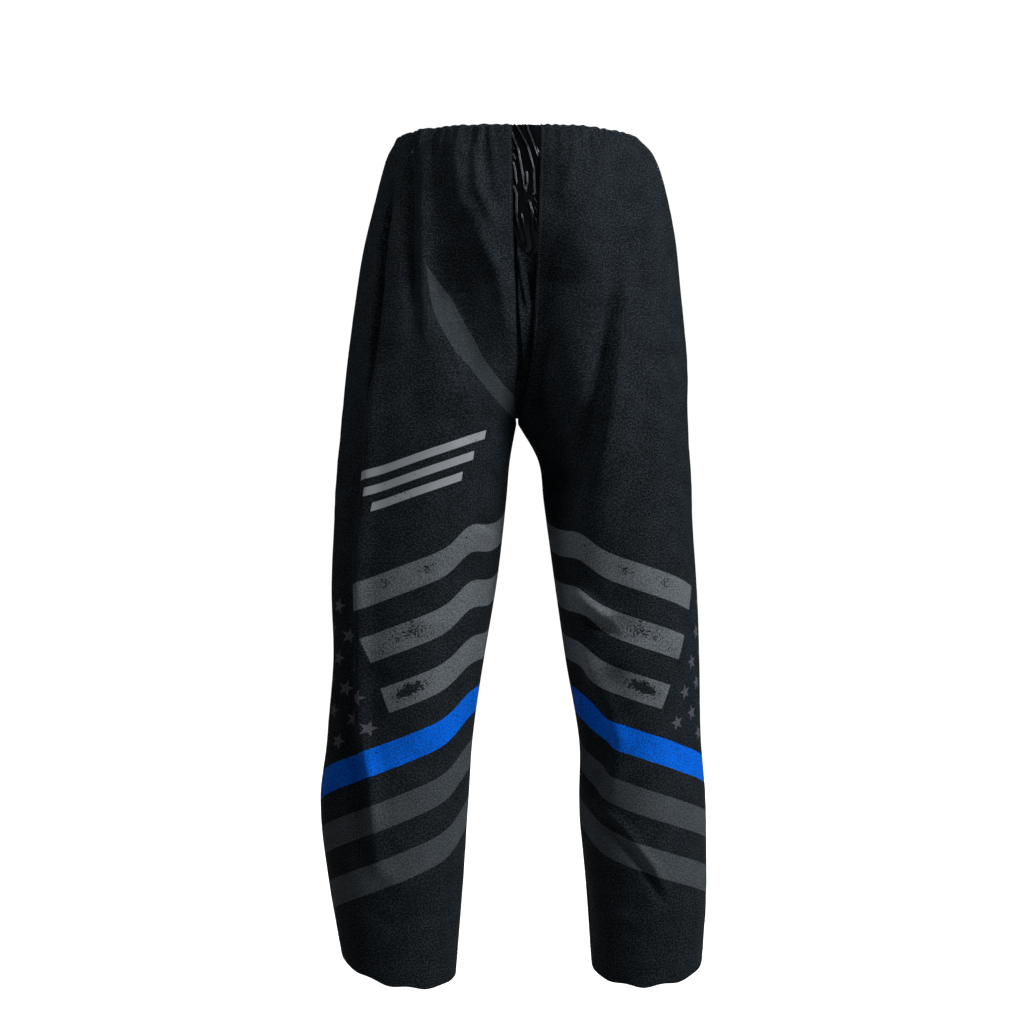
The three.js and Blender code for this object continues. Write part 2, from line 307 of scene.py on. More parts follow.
@dataclass(frozen=True)
class Crease:
    """A fold along a line of (x, z) points on one face: how far it stands and how wide it is."""

    path: Points
    height: float
    width: float
    relief: Relief = Relief.RIDGE
    face: Face = Face.FRONT
    fade: float = 0.045
    gathered_edge: float = -0.02

    def lift(self, x: Array, z: Array) -> Array:
        """How far the crease lifts the cloth.

        A ridge or valley is a bell across the line with a shallower, wider one taken off. A
        ledge is the distance times a bell, so it stands proud on one side and sinks on the other.
        A swell is a plain bell. Towards each end the crease dies away, except where it starts in
        a gathered edge.

        Args:
            x: places across the body.
            z: heights.

        Returns:
            The lift along the cloth's normal.
        """
        best = np.full(np.broadcast(x, z).shape, np.inf)
        turn = np.zeros_like(best)
        along = np.zeros_like(best)
        points = np.array(self.path)
        passed = 0.0
        for start, end in zip(points[:-1], points[1:]):
            run = end - start
            t = np.clip(((x - start[0]) * run[0] + (z - start[1]) * run[1]) / (run @ run), 0, 1)
            dx, dz = x - start[0] - t * run[0], z - start[1] - t * run[1]
            away = np.hypot(dx, dz)
            nearer = away < best
            best = np.where(nearer, away, best)
            turn = np.where(nearer, np.sign(run[0] * dz - run[1] * dx), turn)
            along = np.where(nearer, passed + t * np.linalg.norm(run), along)
            passed += float(np.linalg.norm(run))
        fade = min(self.fade, LONGEST_FADE * passed)
        height = self.height * smooth((passed - along) / fade)
        if points[0][1] < self.gathered_edge:
            height = height * smooth(along / fade)
        if self.relief is Relief.LEDGE:
            return height * LEDGE_GAIN * turn * (best / self.width) * bell(best, self.width)
        if self.relief is Relief.SWELL:
            return height * bell(best, self.width)
        sign = 1.0 if self.relief is Relief.RIDGE else -1.0
        skirt = SKIRT_DEPTH * bell(best, SKIRT_WIDTH * self.width)
        return sign * height * ((1 + SKIRT_DEPTH) * bell(best, self.width) - skirt)


FRONT_CREASES = (
    # Gathers to the right of the gusset, which sweep in towards the crotch.
    Crease(
        (
            (-0.0371, 0.014), (-0.044, -0.0149), (-0.0486, -0.034), (-0.044, -0.0771),
            (-0.0222, -0.1212), (-0.0147, -0.1337),
        ),
        0.0052, 0.007,
    ),
    Crease(
        (
            (-0.063, 0.014), (-0.0682, -0.0149), (-0.0728, -0.0407), (-0.0682, -0.0858),
            (-0.0502, -0.1241),
        ),
        0.0046, 0.0078,
    ),
    Crease(
        ((-0.0518, 0.014), (-0.0578, -0.013), (-0.0617, -0.0302), (-0.0578, -0.057)),
        0.0022, 0.0045,
    ),
    Crease(
        ((-0.0785, 0.014), (-0.0854, -0.0168), (-0.0923, -0.0474), (-0.0894, -0.081)),
        0.0026, 0.0085,
    ),
    Crease(
        ((-0.0308, 0.014), (-0.0291, -0.0149), (-0.0272, -0.0474), (-0.0186, -0.0819)),
        0.0024, 0.005,
    ),
    Crease(
        (
            (-0.054, -0.1097), (-0.0368, -0.148), (-0.0195, -0.1768), (-0.0084, -0.2151),
            (-0.0032, -0.2582),
        ),
        0.0046, 0.009,
    ),
    # Short pulls beside the gusset's other edge.
    Crease(((0.0764, 0.014), (0.0514, -0.011), (0.0418, -0.0206), (0.0313, -0.0321)), 0.0048, 0.0038),
    Crease(((0.0826, 0.014), (0.061, -0.0149), (0.0495, -0.0302), (0.0313, -0.0532)), 0.0052, 0.0044),
    Crease(
        ((0.0856, 0.014), (0.0725, -0.0168), (0.061, -0.0436), (0.0533, -0.0762), (0.0475, -0.1145)),
        0.0026, 0.008,
    ),
    Crease(((0.0867, 0.014), (0.0916, -0.0187), (0.0974, -0.057), (0.0916, -0.1049)), 0.003, 0.013),
    # Long hanging folds on the right leg.
    Crease(
        (
            (-0.1167, 0.014), (-0.1165, -0.0187), (-0.1153, -0.1547), (-0.113, -0.2151),
            (-0.1086, -0.2821),
        ),
        0.0072, 0.011, Relief.LEDGE, fade=0.12,
    ),
    Crease(
        (
            (-0.169, -0.25), (-0.1728, -0.2956), (-0.1797, -0.3875), (-0.191, -0.4881),
            (-0.1905, -0.7018), (-0.1785, -0.7554), (-0.1751, -0.8138), (-0.169, -0.8809),
        ),
        0.0085, 0.0125, Relief.LEDGE, fade=0.1,
    ),
    Crease(
        ((-0.1464, -0.045), (-0.1624, -0.2084), (-0.1728, -0.2956), (-0.177, -0.35)),
        0.0095, 0.0042, Relief.VALLEY, fade=0.06,
    ),
    Crease(((-0.054, -0.4565), (-0.0348, -0.4613), (-0.0195, -0.4737)), 0.003, 0.0065, Relief.VALLEY),
    Crease(((-0.0818, -0.3061), (-0.0674, -0.3492), (-0.0291, -0.3875)), 0.0022, 0.014, Relief.VALLEY),
    Crease(((-0.1441, -0.5552), (-0.1057, -0.5791), (-0.0578, -0.5695)), 0.002, 0.012),
    Crease(((-0.192, -0.6318), (-0.1441, -0.6462), (-0.0914, -0.6318)), 0.0022, 0.012, Relief.VALLEY),
    Crease(((-0.1824, -0.8426), (-0.1345, -0.8857), (-0.0818, -0.8809)), 0.0024, 0.013),
    Crease(((-0.1967, -0.9048), (-0.1441, -0.9288), (-0.0866, -0.9144)), 0.002, 0.01, Relief.VALLEY),
    # Long hanging folds on the left leg.
    Crease(
        (
            (0.1242, -0.1049), (0.1169, -0.2036), (0.1089, -0.2496), (0.0985, -0.331),
            (0.0847, -0.3962), (0.0721, -0.4383), (0.0583, -0.4852),
        ),
        0.0095, 0.014, Relief.LEDGE, fade=0.16,
    ),
    Crease(((0.1433, -0.0762), (0.1577, -0.172), (0.1625, -0.3061), (0.1702, -0.4211)), 0.003, 0.016),
    Crease(((0.0428, -0.2103), (0.0284, -0.2869), (0.0188, -0.3348)), 0.0028, 0.011, Relief.VALLEY),
    Crease(((0.061, -0.5408), (0.0954, -0.5695), (0.1223, -0.5916)), 0.0036, 0.0085, Relief.LEDGE),
    Crease(
        ((0.0475, -0.5406), (0.0755, -0.5436), (0.1008, -0.5688), (0.1387, -0.559)),
        0.0048, 0.0068, fade=0.03,
    ),
    Crease(
        ((0.0571, -0.5843), (0.0755, -0.5682), (0.1008, -0.5843), (0.1238, -0.5946)),
        0.0046, 0.006, Relief.VALLEY, fade=0.03,
    ),
    Crease(((0.0715, -0.6414), (0.1098, -0.6222), (0.1529, -0.6318)), 0.0024, 0.01),
    Crease(
        (
            (0.0686, -0.5935), (0.0811, -0.639), (0.0993, -0.6826), (0.1104, -0.7161),
            (0.1041, -0.7564), (0.0964, -0.7966),
        ),
        0.0058, 0.014, Relief.LEDGE,
    ),
    Crease(
        ((0.084, -0.7851), (0.0974, -0.8023), (0.1213, -0.8186), (0.1544, -0.8627), (0.1778, -0.9096)),
        0.0046, 0.008, Relief.LEDGE,
    ),
    Crease(((0.1912, -0.6893), (0.1893, -0.7851), (0.1817, -0.8617)), 0.003, 0.012, Relief.VALLEY),
    Crease(((0.0954, -0.9096), (0.1433, -0.9288), (0.196, -0.9048)), 0.0022, 0.01),
)

BACK_CREASES = tuple(
    Crease(path, height, width, relief, Face.BACK)
    for path, height, width, relief in (
        (((-0.03, -0.3), (-0.09, -0.335), (-0.15, -0.33)), 0.0048, 0.012, Relief.VALLEY),
        (((0.03, -0.3), (0.095, -0.34), (0.15, -0.325)), 0.0048, 0.012, Relief.VALLEY),
        (((-0.02, -0.26), (-0.08, -0.3), (-0.14, -0.29)), 0.0032, 0.014, Relief.RIDGE),
        (((0.02, -0.25), (0.08, -0.295), (0.145, -0.285)), 0.0032, 0.014, Relief.RIDGE),
        (((-0.18, -0.05), (-0.15, -0.2), (-0.12, -0.42)), 0.0032, 0.015, Relief.LEDGE),
        (((0.175, -0.06), (0.15, -0.21), (0.135, -0.43)), 0.0032, 0.015, Relief.LEDGE),
        (((-0.195, -0.59), (-0.14, -0.612), (-0.07, -0.6)), 0.005, 0.01, Relief.VALLEY),
        (((-0.19, -0.64), (-0.135, -0.632), (-0.065, -0.65)), 0.004, 0.009, Relief.LEDGE),
        (((0.075, -0.6), (0.135, -0.615), (0.195, -0.595)), 0.005, 0.01, Relief.VALLEY),
        (((0.08, -0.655), (0.14, -0.636), (0.198, -0.65)), 0.004, 0.009, Relief.LEDGE),
        (((-0.15, -0.68), (-0.165, -0.79), (-0.15, -0.92)), 0.0034, 0.015, Relief.RIDGE),
        (((0.15, -0.68), (0.165, -0.79), (0.16, -0.92)), 0.0034, 0.015, Relief.RIDGE),
    )
)


FRONT_SWELLS = tuple(
    Crease(path, height, width, Relief.SWELL, Face.FRONT, fade)
    for path, height, width, fade in (
        (
            (
                (-0.0751, 0.0005), (-0.0636, -0.0474), (-0.054, -0.0905), (-0.0348, -0.1384),
                (-0.0214, -0.172), (-0.0118, -0.2199), (-0.0061, -0.2774),
            ),
            0.011, 0.018, 0.06,
        ),
        (
            ((-0.0962, -0.1241), (-0.0751, -0.1911), (-0.054, -0.2582), (-0.0329, -0.3348)),
            -0.015, 0.026, 0.07,
        ),
        (
            ((0.0533, -0.0091), (0.0744, -0.0858), (0.0878, -0.1624), (0.0935, -0.239)),
            0.011, 0.032, 0.09,
        ),
        (
            (
                (0.03, -0.105), (0.02, -0.17), (0.017, -0.2486), (0.025, -0.3348), (0.042, -0.4211),
                (0.052, -0.4785),
            ),
            -0.026, 0.042, 0.08,
        ),
        (
            (
                (0.1223, -0.2582), (0.1146, -0.3348), (0.1031, -0.4019), (0.0916, -0.469),
                (0.0782, -0.5264),
            ),
            0.01, 0.024, 0.08,
        ),
        (
            ((-0.1306, -0.057), (-0.1364, -0.1911), (-0.146, -0.3061), (-0.1536, -0.4211)),
            0.006, 0.024, 0.1,
        ),
        (((0.1069, -0.5839), (0.1261, -0.6174), (0.151, -0.6414)), 0.0085, 0.024, 0.04),
        (
            ((0.082, -0.6318), (0.0897, -0.6893), (0.0897, -0.7468), (0.0859, -0.7947)),
            -0.012, 0.022, 0.05,
        ),
        (
            ((-0.0435, -0.469), (-0.0483, -0.5552), (-0.0559, -0.6318), (-0.0597, -0.7468)),
            -0.015, 0.022, 0.07,
        ),
        (((-0.1057, -0.5552), (-0.1134, -0.6414), (-0.1115, -0.7468)), 0.005, 0.028, 0.09),
        (((0.1433, -0.8138), (0.1529, -0.8809), (0.151, -0.9384)), 0.0045, 0.028, 0.05),
    )
)

BACK_SWELLS = tuple(
    Crease(tuple((sign * x, z) for x, z in path), height, width, Relief.SWELL, Face.BACK, fade)
    for path, height, width, fade in (
        (((0.075, -0.11), (0.085, -0.19), (0.08, -0.26)), 0.007, 0.05, 0.08),
        (((0.04, -0.33), (0.11, -0.35), (0.17, -0.335)), -0.01, 0.024, 0.05),
        (((0.09, -0.6), (0.14, -0.612), (0.19, -0.6)), -0.008, 0.02, 0.04),
        (((0.12, -0.42), (0.15, -0.5)), 0.006, 0.03, 0.05),
    )
    for sign in (-1, 1)
) + (
    Crease(((-0.13, -0.72), (-0.12, -0.88)), 0.0055, 0.026, Relief.SWELL, Face.BACK, 0.06),
    Crease(((0.14, -0.72), (0.13, -0.88)), 0.0055, 0.026, Relief.SWELL, Face.BACK, 0.06),
)


@dataclass(frozen=True)
class Folds:
    """How far the hanging cloth stands off the form."""

    creases: tuple[Crease, ...] = FRONT_CREASES + BACK_CREASES
    swells: tuple[Crease, ...] = FRONT_SWELLS + BACK_SWELLS
    gather_count: int = 70
    gather_height: float = 0.0013
    gather_reach: float = 0.055
    swell_height: float = 0.0024
    swell_waves: int = 22
    ripple_height: float = 0.00035
    ripple_waves: int = 26
    hem_wave: float = 0.0016
    gather_drift: tuple[tuple[float, int, float], ...] = ((1.4, 3, 0.7), (1.1, 7, 0.0))
    swell_lengths: tuple[float, float] = (0.07, 0.17)
    ripple_lengths: tuple[float, float] = (0.016, 0.036)
    patch_waves: int = 12
    patch_lengths: tuple[float, float] = (0.12, 0.22)
    upright: float = 0.55
    hollow_from: float = 0.02
    hollow_ease: float = 0.08
    proud_from: float = 0.03
    proud_ease: float = 0.09
    broad_turn: float = 0.055
    crease_turn: float = 0.035
    valley_from: float = 0.004
    valley_ease: float = 0.05
    seam_pinch: float = 0.0011
    seam_width: float = 0.0032
    seam_hold: float = 0.016
    seed: int = 11

    def _waves(self, place: Array, count: int, lengths: tuple[float, float], seed: int) -> Array:
        """A sum of plane waves, mostly upright ones, scaled to about -1 to 1.

        Each wave is the sine of the place dotted with a random vector, plus a random phase.
        """
        draw = np.random.default_rng(seed)
        total = np.zeros(place.shape[:-1])
        for _ in range(count):
            length = draw.uniform(*lengths)
            way = draw.normal(size=3) * np.array([1.0, 1.0, self.upright])
            way *= 2 * math.pi / (length * np.linalg.norm(way))
            total += np.sin(place @ way + draw.uniform(0, 2 * math.pi))
        return total / math.sqrt(count / 2) / 2

    def swell(self, place: Array, face: Face) -> Array:
        """How far the cloth stands out to the front or back in its broad swells and hollows.

        Args:
            place: points on the form, with x, y, z last.
            face: the face that the points are on.

        Returns:
            A vector for each point. It has no x or z, so that sewn edges move as one.
        """
        x, y, z = place[..., 0], place[..., 1], place[..., 2]
        total = np.zeros_like(x)
        for crease in self.swells:
            if crease.face is face:
                total += crease.lift(x, z)
        hollow = total * smooth(-(z + self.hollow_from) / self.hollow_ease)
        proud = total * smooth((self.proud_from - z) / self.proud_ease)
        total = np.where(total < 0, hollow, proud)
        push = np.zeros_like(place)
        push[..., 1] = face.value * total * smooth(np.abs(y) / self.broad_turn)
        return push

    def lift(self, place: Array, face: Face, form: Form) -> Array:
        """The whole lift of the cloth along its normal.

        Args:
            place: points on the form, with x, y, z last.
            face: the face that the points are on.
            form: the form, for the waist's proportions.

        Returns:
            The lift at each point.
        """
        x, y, z = place[..., 0], place[..., 1], place[..., 2]
        facing = smooth(np.abs(y) / self.crease_turn)
        total = np.zeros_like(x)
        for crease in self.creases:
            if crease.face is face:
                total += crease.lift(x, z) * facing
        shallow = smooth(-(z + self.valley_from) / self.valley_ease)
        total = np.where(total < 0, total * shallow, total)
        around = np.arctan2(y / form.half_waist_depth, x / form.half_waist)
        phase = self.gather_count * around
        for size, turns, shift in self.gather_drift:
            phase = phase + size * np.sin(turns * around + shift)
        reach = self.gather_reach * (1 + 0.45 * np.sin(5 * around + 1.0) + 0.3 * np.sin(13 * around))
        fade = smooth(1 + z / reach) * (0.55 + 0.45 * np.sin(11 * around + 0.4) ** 2)
        total += self.gather_height * np.sin(phase) * fade
        loose = smooth(-z / 0.09) * (0.65 + 0.35 * smooth((z + 1.0) / 0.12))
        broad = self._waves(place, self.swell_waves, self.swell_lengths, self.seed)
        total += self.swell_height * loose * broad
        patch = smooth(0.5 + 0.9 * self._waves(place, self.patch_waves, self.patch_lengths, self.seed + 5))
        fine = self._waves(place, self.ripple_waves, self.ripple_lengths, self.seed + 9)
        total += self.ripple_height * patch * fine
        return total


@dataclass(frozen=True)
class Cloth:
    """The hanging cloth: the form with its folds, from which every sewn piece takes its place."""

    form: Form = field(default_factory=Form)
    folds: Folds = field(default_factory=Folds)

    def at(self, side: Side, face: Face, angle: Array, z: Array, inset: Array) -> tuple[Array, Array]:
        """A point of the hanging cloth and its outward normal.

        Args:
            side: the wearer's side.
            face: front or back.
            angle: angles from the outseam.
            z: heights before the hem's tilt.
            inset: depths below the cloth's outer face.

        Returns:
            Points and section normals, with x, y, z last.
        """
        place, normal = self.form.point(side, face, angle, z)
        far = self.form.far_angle(side, face, z)
        lift = self.folds.lift(place, face, self.form)
        girth = self.form.depth(face, z)
        to_seam = np.minimum(np.abs(angle), np.abs(far - angle)) * girth
        lift = lift * smooth(to_seam / self.folds.seam_hold)
        lift = lift - self.folds.seam_pinch * bell(to_seam, self.folds.seam_width)
        swell = self.folds.swell(place, face)
        return place + swell + normal * (lift - inset)[..., None], normal


# ---------------------------------------------------------------------------------------------
# Meshes
# ---------------------------------------------------------------------------------------------


def grid_object(name: str, points: Array, maps: dict[str, Array], outward: Array) -> bpy.types.Object:
    """Makes a smooth quad surface from a grid of points.

    Args:
        name: the piece's name.
        points: rows by columns by 3.
        maps: UV maps by name, each rows by columns by 2.
        outward: rows by columns by 3, directions that the faces should turn to.

    Returns:
        The new object, linked to the scene.
    """
    rows, columns = points.shape[:2]
    index = np.arange(rows * columns).reshape(rows, columns)
    quads = np.stack([index[:-1, :-1], index[1:, :-1], index[1:, 1:], index[:-1, 1:]], axis=-1)
    down, across = points[1:, :-1] - points[:-1, :-1], points[:-1, 1:] - points[:-1, :-1]
    facing = np.sum(np.cross(down, across) * outward[:-1, :-1], axis=-1)
    if np.sum(facing) < 0:
        quads = quads[..., ::-1]
    quads = quads.reshape(-1, 4)
    mesh = bpy.data.meshes.new(name)
    mesh.vertices.add(rows * columns)
    mesh.vertices.foreach_set("co", points.reshape(-1).astype(np.float32))
    mesh.loops.add(quads.size)
    mesh.loops.foreach_set("vertex_index", quads.reshape(-1).astype(np.int32))
    mesh.polygons.add(len(quads))
    mesh.polygons.foreach_set("loop_start", np.arange(0, quads.size, 4, dtype=np.int32))
    mesh.polygons.foreach_set("loop_total", np.full(len(quads), 4, dtype=np.int32))
    mesh.update(calc_edges=True)
    mesh.polygons.foreach_set("use_smooth", np.ones(len(quads), dtype=bool))
    for label, values in maps.items():
        layer = mesh.uv_layers.new(name=label)
        flat = values.reshape(-1, 2)[quads.reshape(-1)]
        layer.data.foreach_set("uv", flat.reshape(-1).astype(np.float32))
    mesh.validate()
    ends = np.empty(2 * len(mesh.edges), dtype=np.int32)
    mesh.edges.foreach_get("vertices", ends)
    row, column = np.divmod(ends.reshape(-1, 2), columns)
    level = (row[:, 0] == row[:, 1]) & ((row[:, 0] == 0) | (row[:, 0] == rows - 1))
    upright = (column[:, 0] == column[:, 1]) & ((column[:, 0] == 0) | (column[:, 0] == columns - 1))
    sharp = mesh.attributes.new("sharp_edge", "BOOLEAN", "EDGE")
    sharp.data.foreach_set("value", level | upright)
    piece = bpy.data.objects.new(name, mesh)
    bpy.context.scene.collection.objects.link(piece)
    return piece


def thicken(piece: bpy.types.Object, thickness: float, lining: bool = False) -> None:
    """Gives a surface a wall on its inner side.

    Args:
        piece: the surface.
        thickness: the wall's thickness.
        lining: whether the wall's inner face takes the second material.
    """
    wall = piece.modifiers.new("Wall", "SOLIDIFY")
    wall.thickness = thickness
    wall.offset = -1.0
    wall.material_offset = 1 if lining else 0


def stitch_object(
    name: str, centres: Array, along: Array, normal: Array, size: tuple[float, float, float]
) -> bpy.types.Object:
    """Makes one mesh of many small stitches, each a six-sided bead drawn out along the thread.

    Args:
        name: the piece's name.
        centres: one point for each stitch.
        along: unit directions of the threads.
        normal: unit directions out of the cloth.
        size: half length, half width and half height of a stitch.

    Returns:
        The new object, linked to the scene.
    """
    turns = np.arange(6) * math.pi / 3
    rings = ((-1.0, 0.0), (-0.72, 0.75), (0.0, 1.0), (0.72, 0.75), (1.0, 0.0))
    template, faces = [], []
    for at, swell in rings:
        template.append([(at, swell * math.cos(t), swell * math.sin(t)) for t in turns])
    local = np.array(template[1:-1]).reshape(-1, 3)
    local = np.vstack([local, [[-1, 0, 0], [1, 0, 0]]]) * np.array(size)
    for ring in range(2):
        for k in range(6):
            a, b = ring * 6 + k, ring * 6 + (k + 1) % 6
            faces += [(a, b, b + 6), (a, b + 6, a + 6)]
    for k in range(6):
        faces += [(18, (k + 1) % 6, k), (19, 12 + k, 12 + (k + 1) % 6)]
    across = np.cross(normal, along)
    basis = np.stack([along, across, normal], axis=1)
    points = centres[:, None, :] + np.einsum("vk,nkc->nvc", local, basis)
    count = len(local)
    triangles = np.array(faces)[None] + (np.arange(len(centres)) * count)[:, None, None]
    mesh = bpy.data.meshes.new(name)
    mesh.from_pydata(points.reshape(-1, 3).tolist(), [], triangles.reshape(-1, 3).tolist())
    mesh.polygons.foreach_set("use_smooth", np.ones(len(mesh.polygons), dtype=bool))
    mesh.update()
    piece = bpy.data.objects.new(name, mesh)
    bpy.context.scene.collection.objects.link(piece)
    return piece


def evenly(line: Array, pitch: float) -> Array:
    """Places along a line, a pitch apart by its length.

    Args:
        line: points along the line.
        pitch: the distance between two places.

    Returns:
        The fractional indices of the places.
    """
    step = np.linalg.norm(np.diff(line, axis=0), axis=1)
    along = np.concatenate([[0], np.cumsum(step)])
    wanted = np.arange(pitch / 2, along[-1], pitch)
    return np.interp(wanted, along, np.arange(len(line)))


def sampled(values: Array, index: Array) -> Array:
    """Rows of an array at fractional indices."""
    low = np.clip(index.astype(int), 0, len(values) - 2)
    share = (index - low)[:, None]
    return values[low] * (1 - share) + values[low + 1] * share


def unit(vectors: Array) -> Array:
    """The vectors scaled to length 1."""
    return vectors / np.maximum(np.linalg.norm(vectors, axis=-1, keepdims=True), 1e-12)


# ---------------------------------------------------------------------------------------------
# Shader building blocks
# ---------------------------------------------------------------------------------------------


class Graph:
    """A node tree with one method for each kind of node that the finishes use."""

    def __init__(self, tree: bpy.types.NodeTree) -> None:
        """Keeps the tree."""
        self.tree = tree

    def node(self, kind: str, **settings: object) -> bpy.types.Node:
        """Adds a node and sets its properties."""
        made = self.tree.nodes.new(kind)
        for name, value in settings.items():
            setattr(made, name, value)
        return made

    def feed(self, socket: Socket, value: object) -> None:
        """Links a socket to another, or sets its value."""
        if isinstance(value, bpy.types.NodeSocket):
            self.tree.links.new(value, socket)
        else:
            socket.default_value = value

    def math(self, operation: str, *values: object) -> Socket:
        """A Math node's result."""
        made = self.node("ShaderNodeMath", operation=operation)
        for socket, value in zip(made.inputs, values):
            self.feed(socket, value)
        return made.outputs[0]

    def total(self, *values: object) -> Socket:
        """The sum of several values."""
        result = values[0]
        for value in values[1:]:
            result = self.math("ADD", result, value)
        return result

    def product(self, *values: object) -> Socket:
        """The product of several values."""
        result = values[0]
        for value in values[1:]:
            result = self.math("MULTIPLY", result, value)
        return result

    def within(self, value: object, low: object, high: object) -> Socket:
        """1 where the value lies between two others, and 0 elsewhere."""
        return self.product(self.math("GREATER_THAN", value, low), self.math("LESS_THAN", value, high))

    def ease(self, value: object, low: float, high: float) -> Socket:
        """Rises smoothly from 0 at one value to 1 at another."""
        made = self.node("ShaderNodeMapRange", interpolation_type="SMOOTHSTEP")
        self.feed(made.inputs["Value"], value)
        made.inputs["From Min"].default_value = low
        made.inputs["From Max"].default_value = high
        return made.outputs["Result"]

    def mix(self, share: object, first: object, second: object) -> Socket:
        """Two colours mixed."""
        made = self.node("ShaderNodeMix", data_type="RGBA")
        colours = [socket for socket in made.inputs if socket.type == "RGBA"]
        self.feed(made.inputs["Factor"], share)
        self.feed(colours[0], first)
        self.feed(colours[1], second)
        return next(socket for socket in made.outputs if socket.type == "RGBA")

    def noise(self, vector: object, scale: float, detail: float = 2.0, roughness: float = 0.5) -> Socket:
        """A noise texture's value."""
        made = self.node("ShaderNodeTexNoise", noise_dimensions="3D")
        self.feed(made.inputs["Vector"], vector)
        made.inputs["Scale"].default_value = scale
        made.inputs["Detail"].default_value = detail
        made.inputs["Roughness"].default_value = roughness
        return made.outputs[0]

    def split(self, vector: object) -> tuple[Socket, Socket, Socket]:
        """A vector's three parts."""
        made = self.node("ShaderNodeSeparateXYZ")
        self.feed(made.inputs[0], vector)
        return made.outputs[0], made.outputs[1], made.outputs[2]

    def join(self, x: object, y: object, z: object = 0.0) -> Socket:
        """A vector of three values."""
        made = self.node("ShaderNodeCombineXYZ")
        for socket, value in zip(made.inputs, (x, y, z)):
            self.feed(socket, value)
        return made.outputs[0]

    def group(self, tree: bpy.types.NodeTree, **values: object) -> bpy.types.Node:
        """Places a node group and feeds its inputs by name."""
        made = self.node("ShaderNodeGroup")
        made.node_tree = tree
        for name, value in values.items():
            self.feed(made.inputs[name.replace("_", " ")], value)
        return made


FLOAT, VECTOR = "NodeSocketFloat", "NodeSocketVector"


def new_group(
    name: str, inputs: dict[str, str], outputs: dict[str, str]
) -> tuple[Graph, dict[str, Socket], bpy.types.Node]:
    """Starts a node group.

    Args:
        name: the group's name.
        inputs: socket kinds by name, FLOAT or VECTOR.
        outputs: the same for its outputs.

    Returns:
        Its graph, its input sockets by name, and its output node.
    """
    tree = bpy.data.node_groups.new(name, "ShaderNodeTree")
    for label, kind in inputs.items():
        tree.interface.new_socket(name=label, in_out="INPUT", socket_type=kind)
    for label, kind in outputs.items():
        tree.interface.new_socket(name=label, in_out="OUTPUT", socket_type=kind)
    graph = Graph(tree)
    source = graph.node("NodeGroupInput")
    return graph, {s.name: s for s in source.outputs if s.name}, graph.node("NodeGroupOutput")


@dataclass(frozen=True)
class KnitGrain:
    """The face of a fine warp knit: ribs, loops and the uneven tone of printed yarn."""

    rib_pitch: float = 0.0011
    loop_pitch: float = 0.0014
    speckle_scale: float = 520.0
    cloud_scale: float = 38.0

    def build(self) -> bpy.types.NodeTree:
        """Makes the group: cloth coordinates in metres in, tone and height out.

        The height is the product of two sines, which stand for the ribs and their loops. The
        tone is fine noise with a little slow noise.
        """
        graph, given, out = new_group(
            "knit_grain", {"Place": VECTOR}, {"Tone": FLOAT, "Height": FLOAT}
        )
        u, v, _ = graph.split(given["Place"])
        rib = graph.math("SINE", graph.product(u, 2 * math.pi / self.rib_pitch))
        loop = graph.math("SINE", graph.product(v, 2 * math.pi / self.loop_pitch))
        speckle = graph.noise(given["Place"], self.speckle_scale, 2.0, 0.7)
        cloud = graph.noise(given["Place"], self.cloud_scale, 3.0, 0.55)
        tone = graph.total(graph.product(speckle, 0.87), graph.product(cloud, 0.13))
        height = graph.total(graph.product(rib, loop, 0.35), graph.product(speckle, 0.9))
        graph.feed(out.inputs["Tone"], tone)
        graph.feed(out.inputs["Height"], height)
        return graph.tree


@dataclass(frozen=True)
class StarMask:
    """A field of small five-pointed stars on a staggered lattice."""

    column: float = 0.050
    row: float = 0.0196
    row_offset: float = 0.0029
    column_offset: float = 0.025
    radius: float = 0.0104
    lift: float = 0.0009
    waist: float = 0.40
    points: int = 5

    def build(self) -> bpy.types.NodeTree:
        """Makes the group: place along and across the stripes in, star mask out.

        Each cell's own angle is folded into half a point. The star's edge there is the straight
        line from the tip to the notch beside it, so a place is inside where it lies on the near
        side of that line.
        """
        graph, given, out = new_group(
            "star_mask", {"Along": FLOAT, "Across": FLOAT}, {"Star": FLOAT}
        )
        across_rows = graph.math("SUBTRACT", given["Across"], self.row_offset)
        line = graph.math("FLOOR", graph.math("DIVIDE", across_rows, self.row))
        odd = graph.math("FLOORED_MODULO", line, 2.0)
        shifted = graph.total(given["Along"], graph.product(odd, self.column / 2), self.column_offset)
        x = graph.math("SUBTRACT", graph.math("FLOORED_MODULO", shifted, self.column), self.column / 2)
        middle = self.row / 2 - self.lift
        y = graph.math("SUBTRACT", graph.math("FLOORED_MODULO", across_rows, self.row), middle)
        distance = graph.math("SQRT", graph.total(graph.product(x, x), graph.product(y, y)))
        slice_angle = 2 * math.pi / self.points
        heading = graph.total(graph.math("ARCTAN2", x, y), slice_angle / 2)
        turned = graph.math("FLOORED_MODULO", heading, slice_angle)
        folded = graph.math("ABSOLUTE", graph.math("SUBTRACT", turned, slice_angle / 2))
        across = graph.product(distance, graph.math("SINE", folded))
        outward = graph.product(distance, graph.math("COSINE", folded))
        inner = self.waist * self.radius
        notch = (inner * math.cos(slice_angle / 2), inner * math.sin(slice_angle / 2))
        run = (notch[0] - self.radius, notch[1])
        past_tip = graph.product(graph.math("SUBTRACT", outward, self.radius), run[1])
        side = graph.math("SUBTRACT", past_tip, graph.product(across, run[0]))
        graph.feed(out.inputs["Star"], graph.math("LESS_THAN", side, 0.0))
        return graph.tree


# The height of the first stripe's slanted edge, and how far a stripe climbs along its length.
PRINT_TOP = -0.505
STRIPE_SLOPE = 0.39


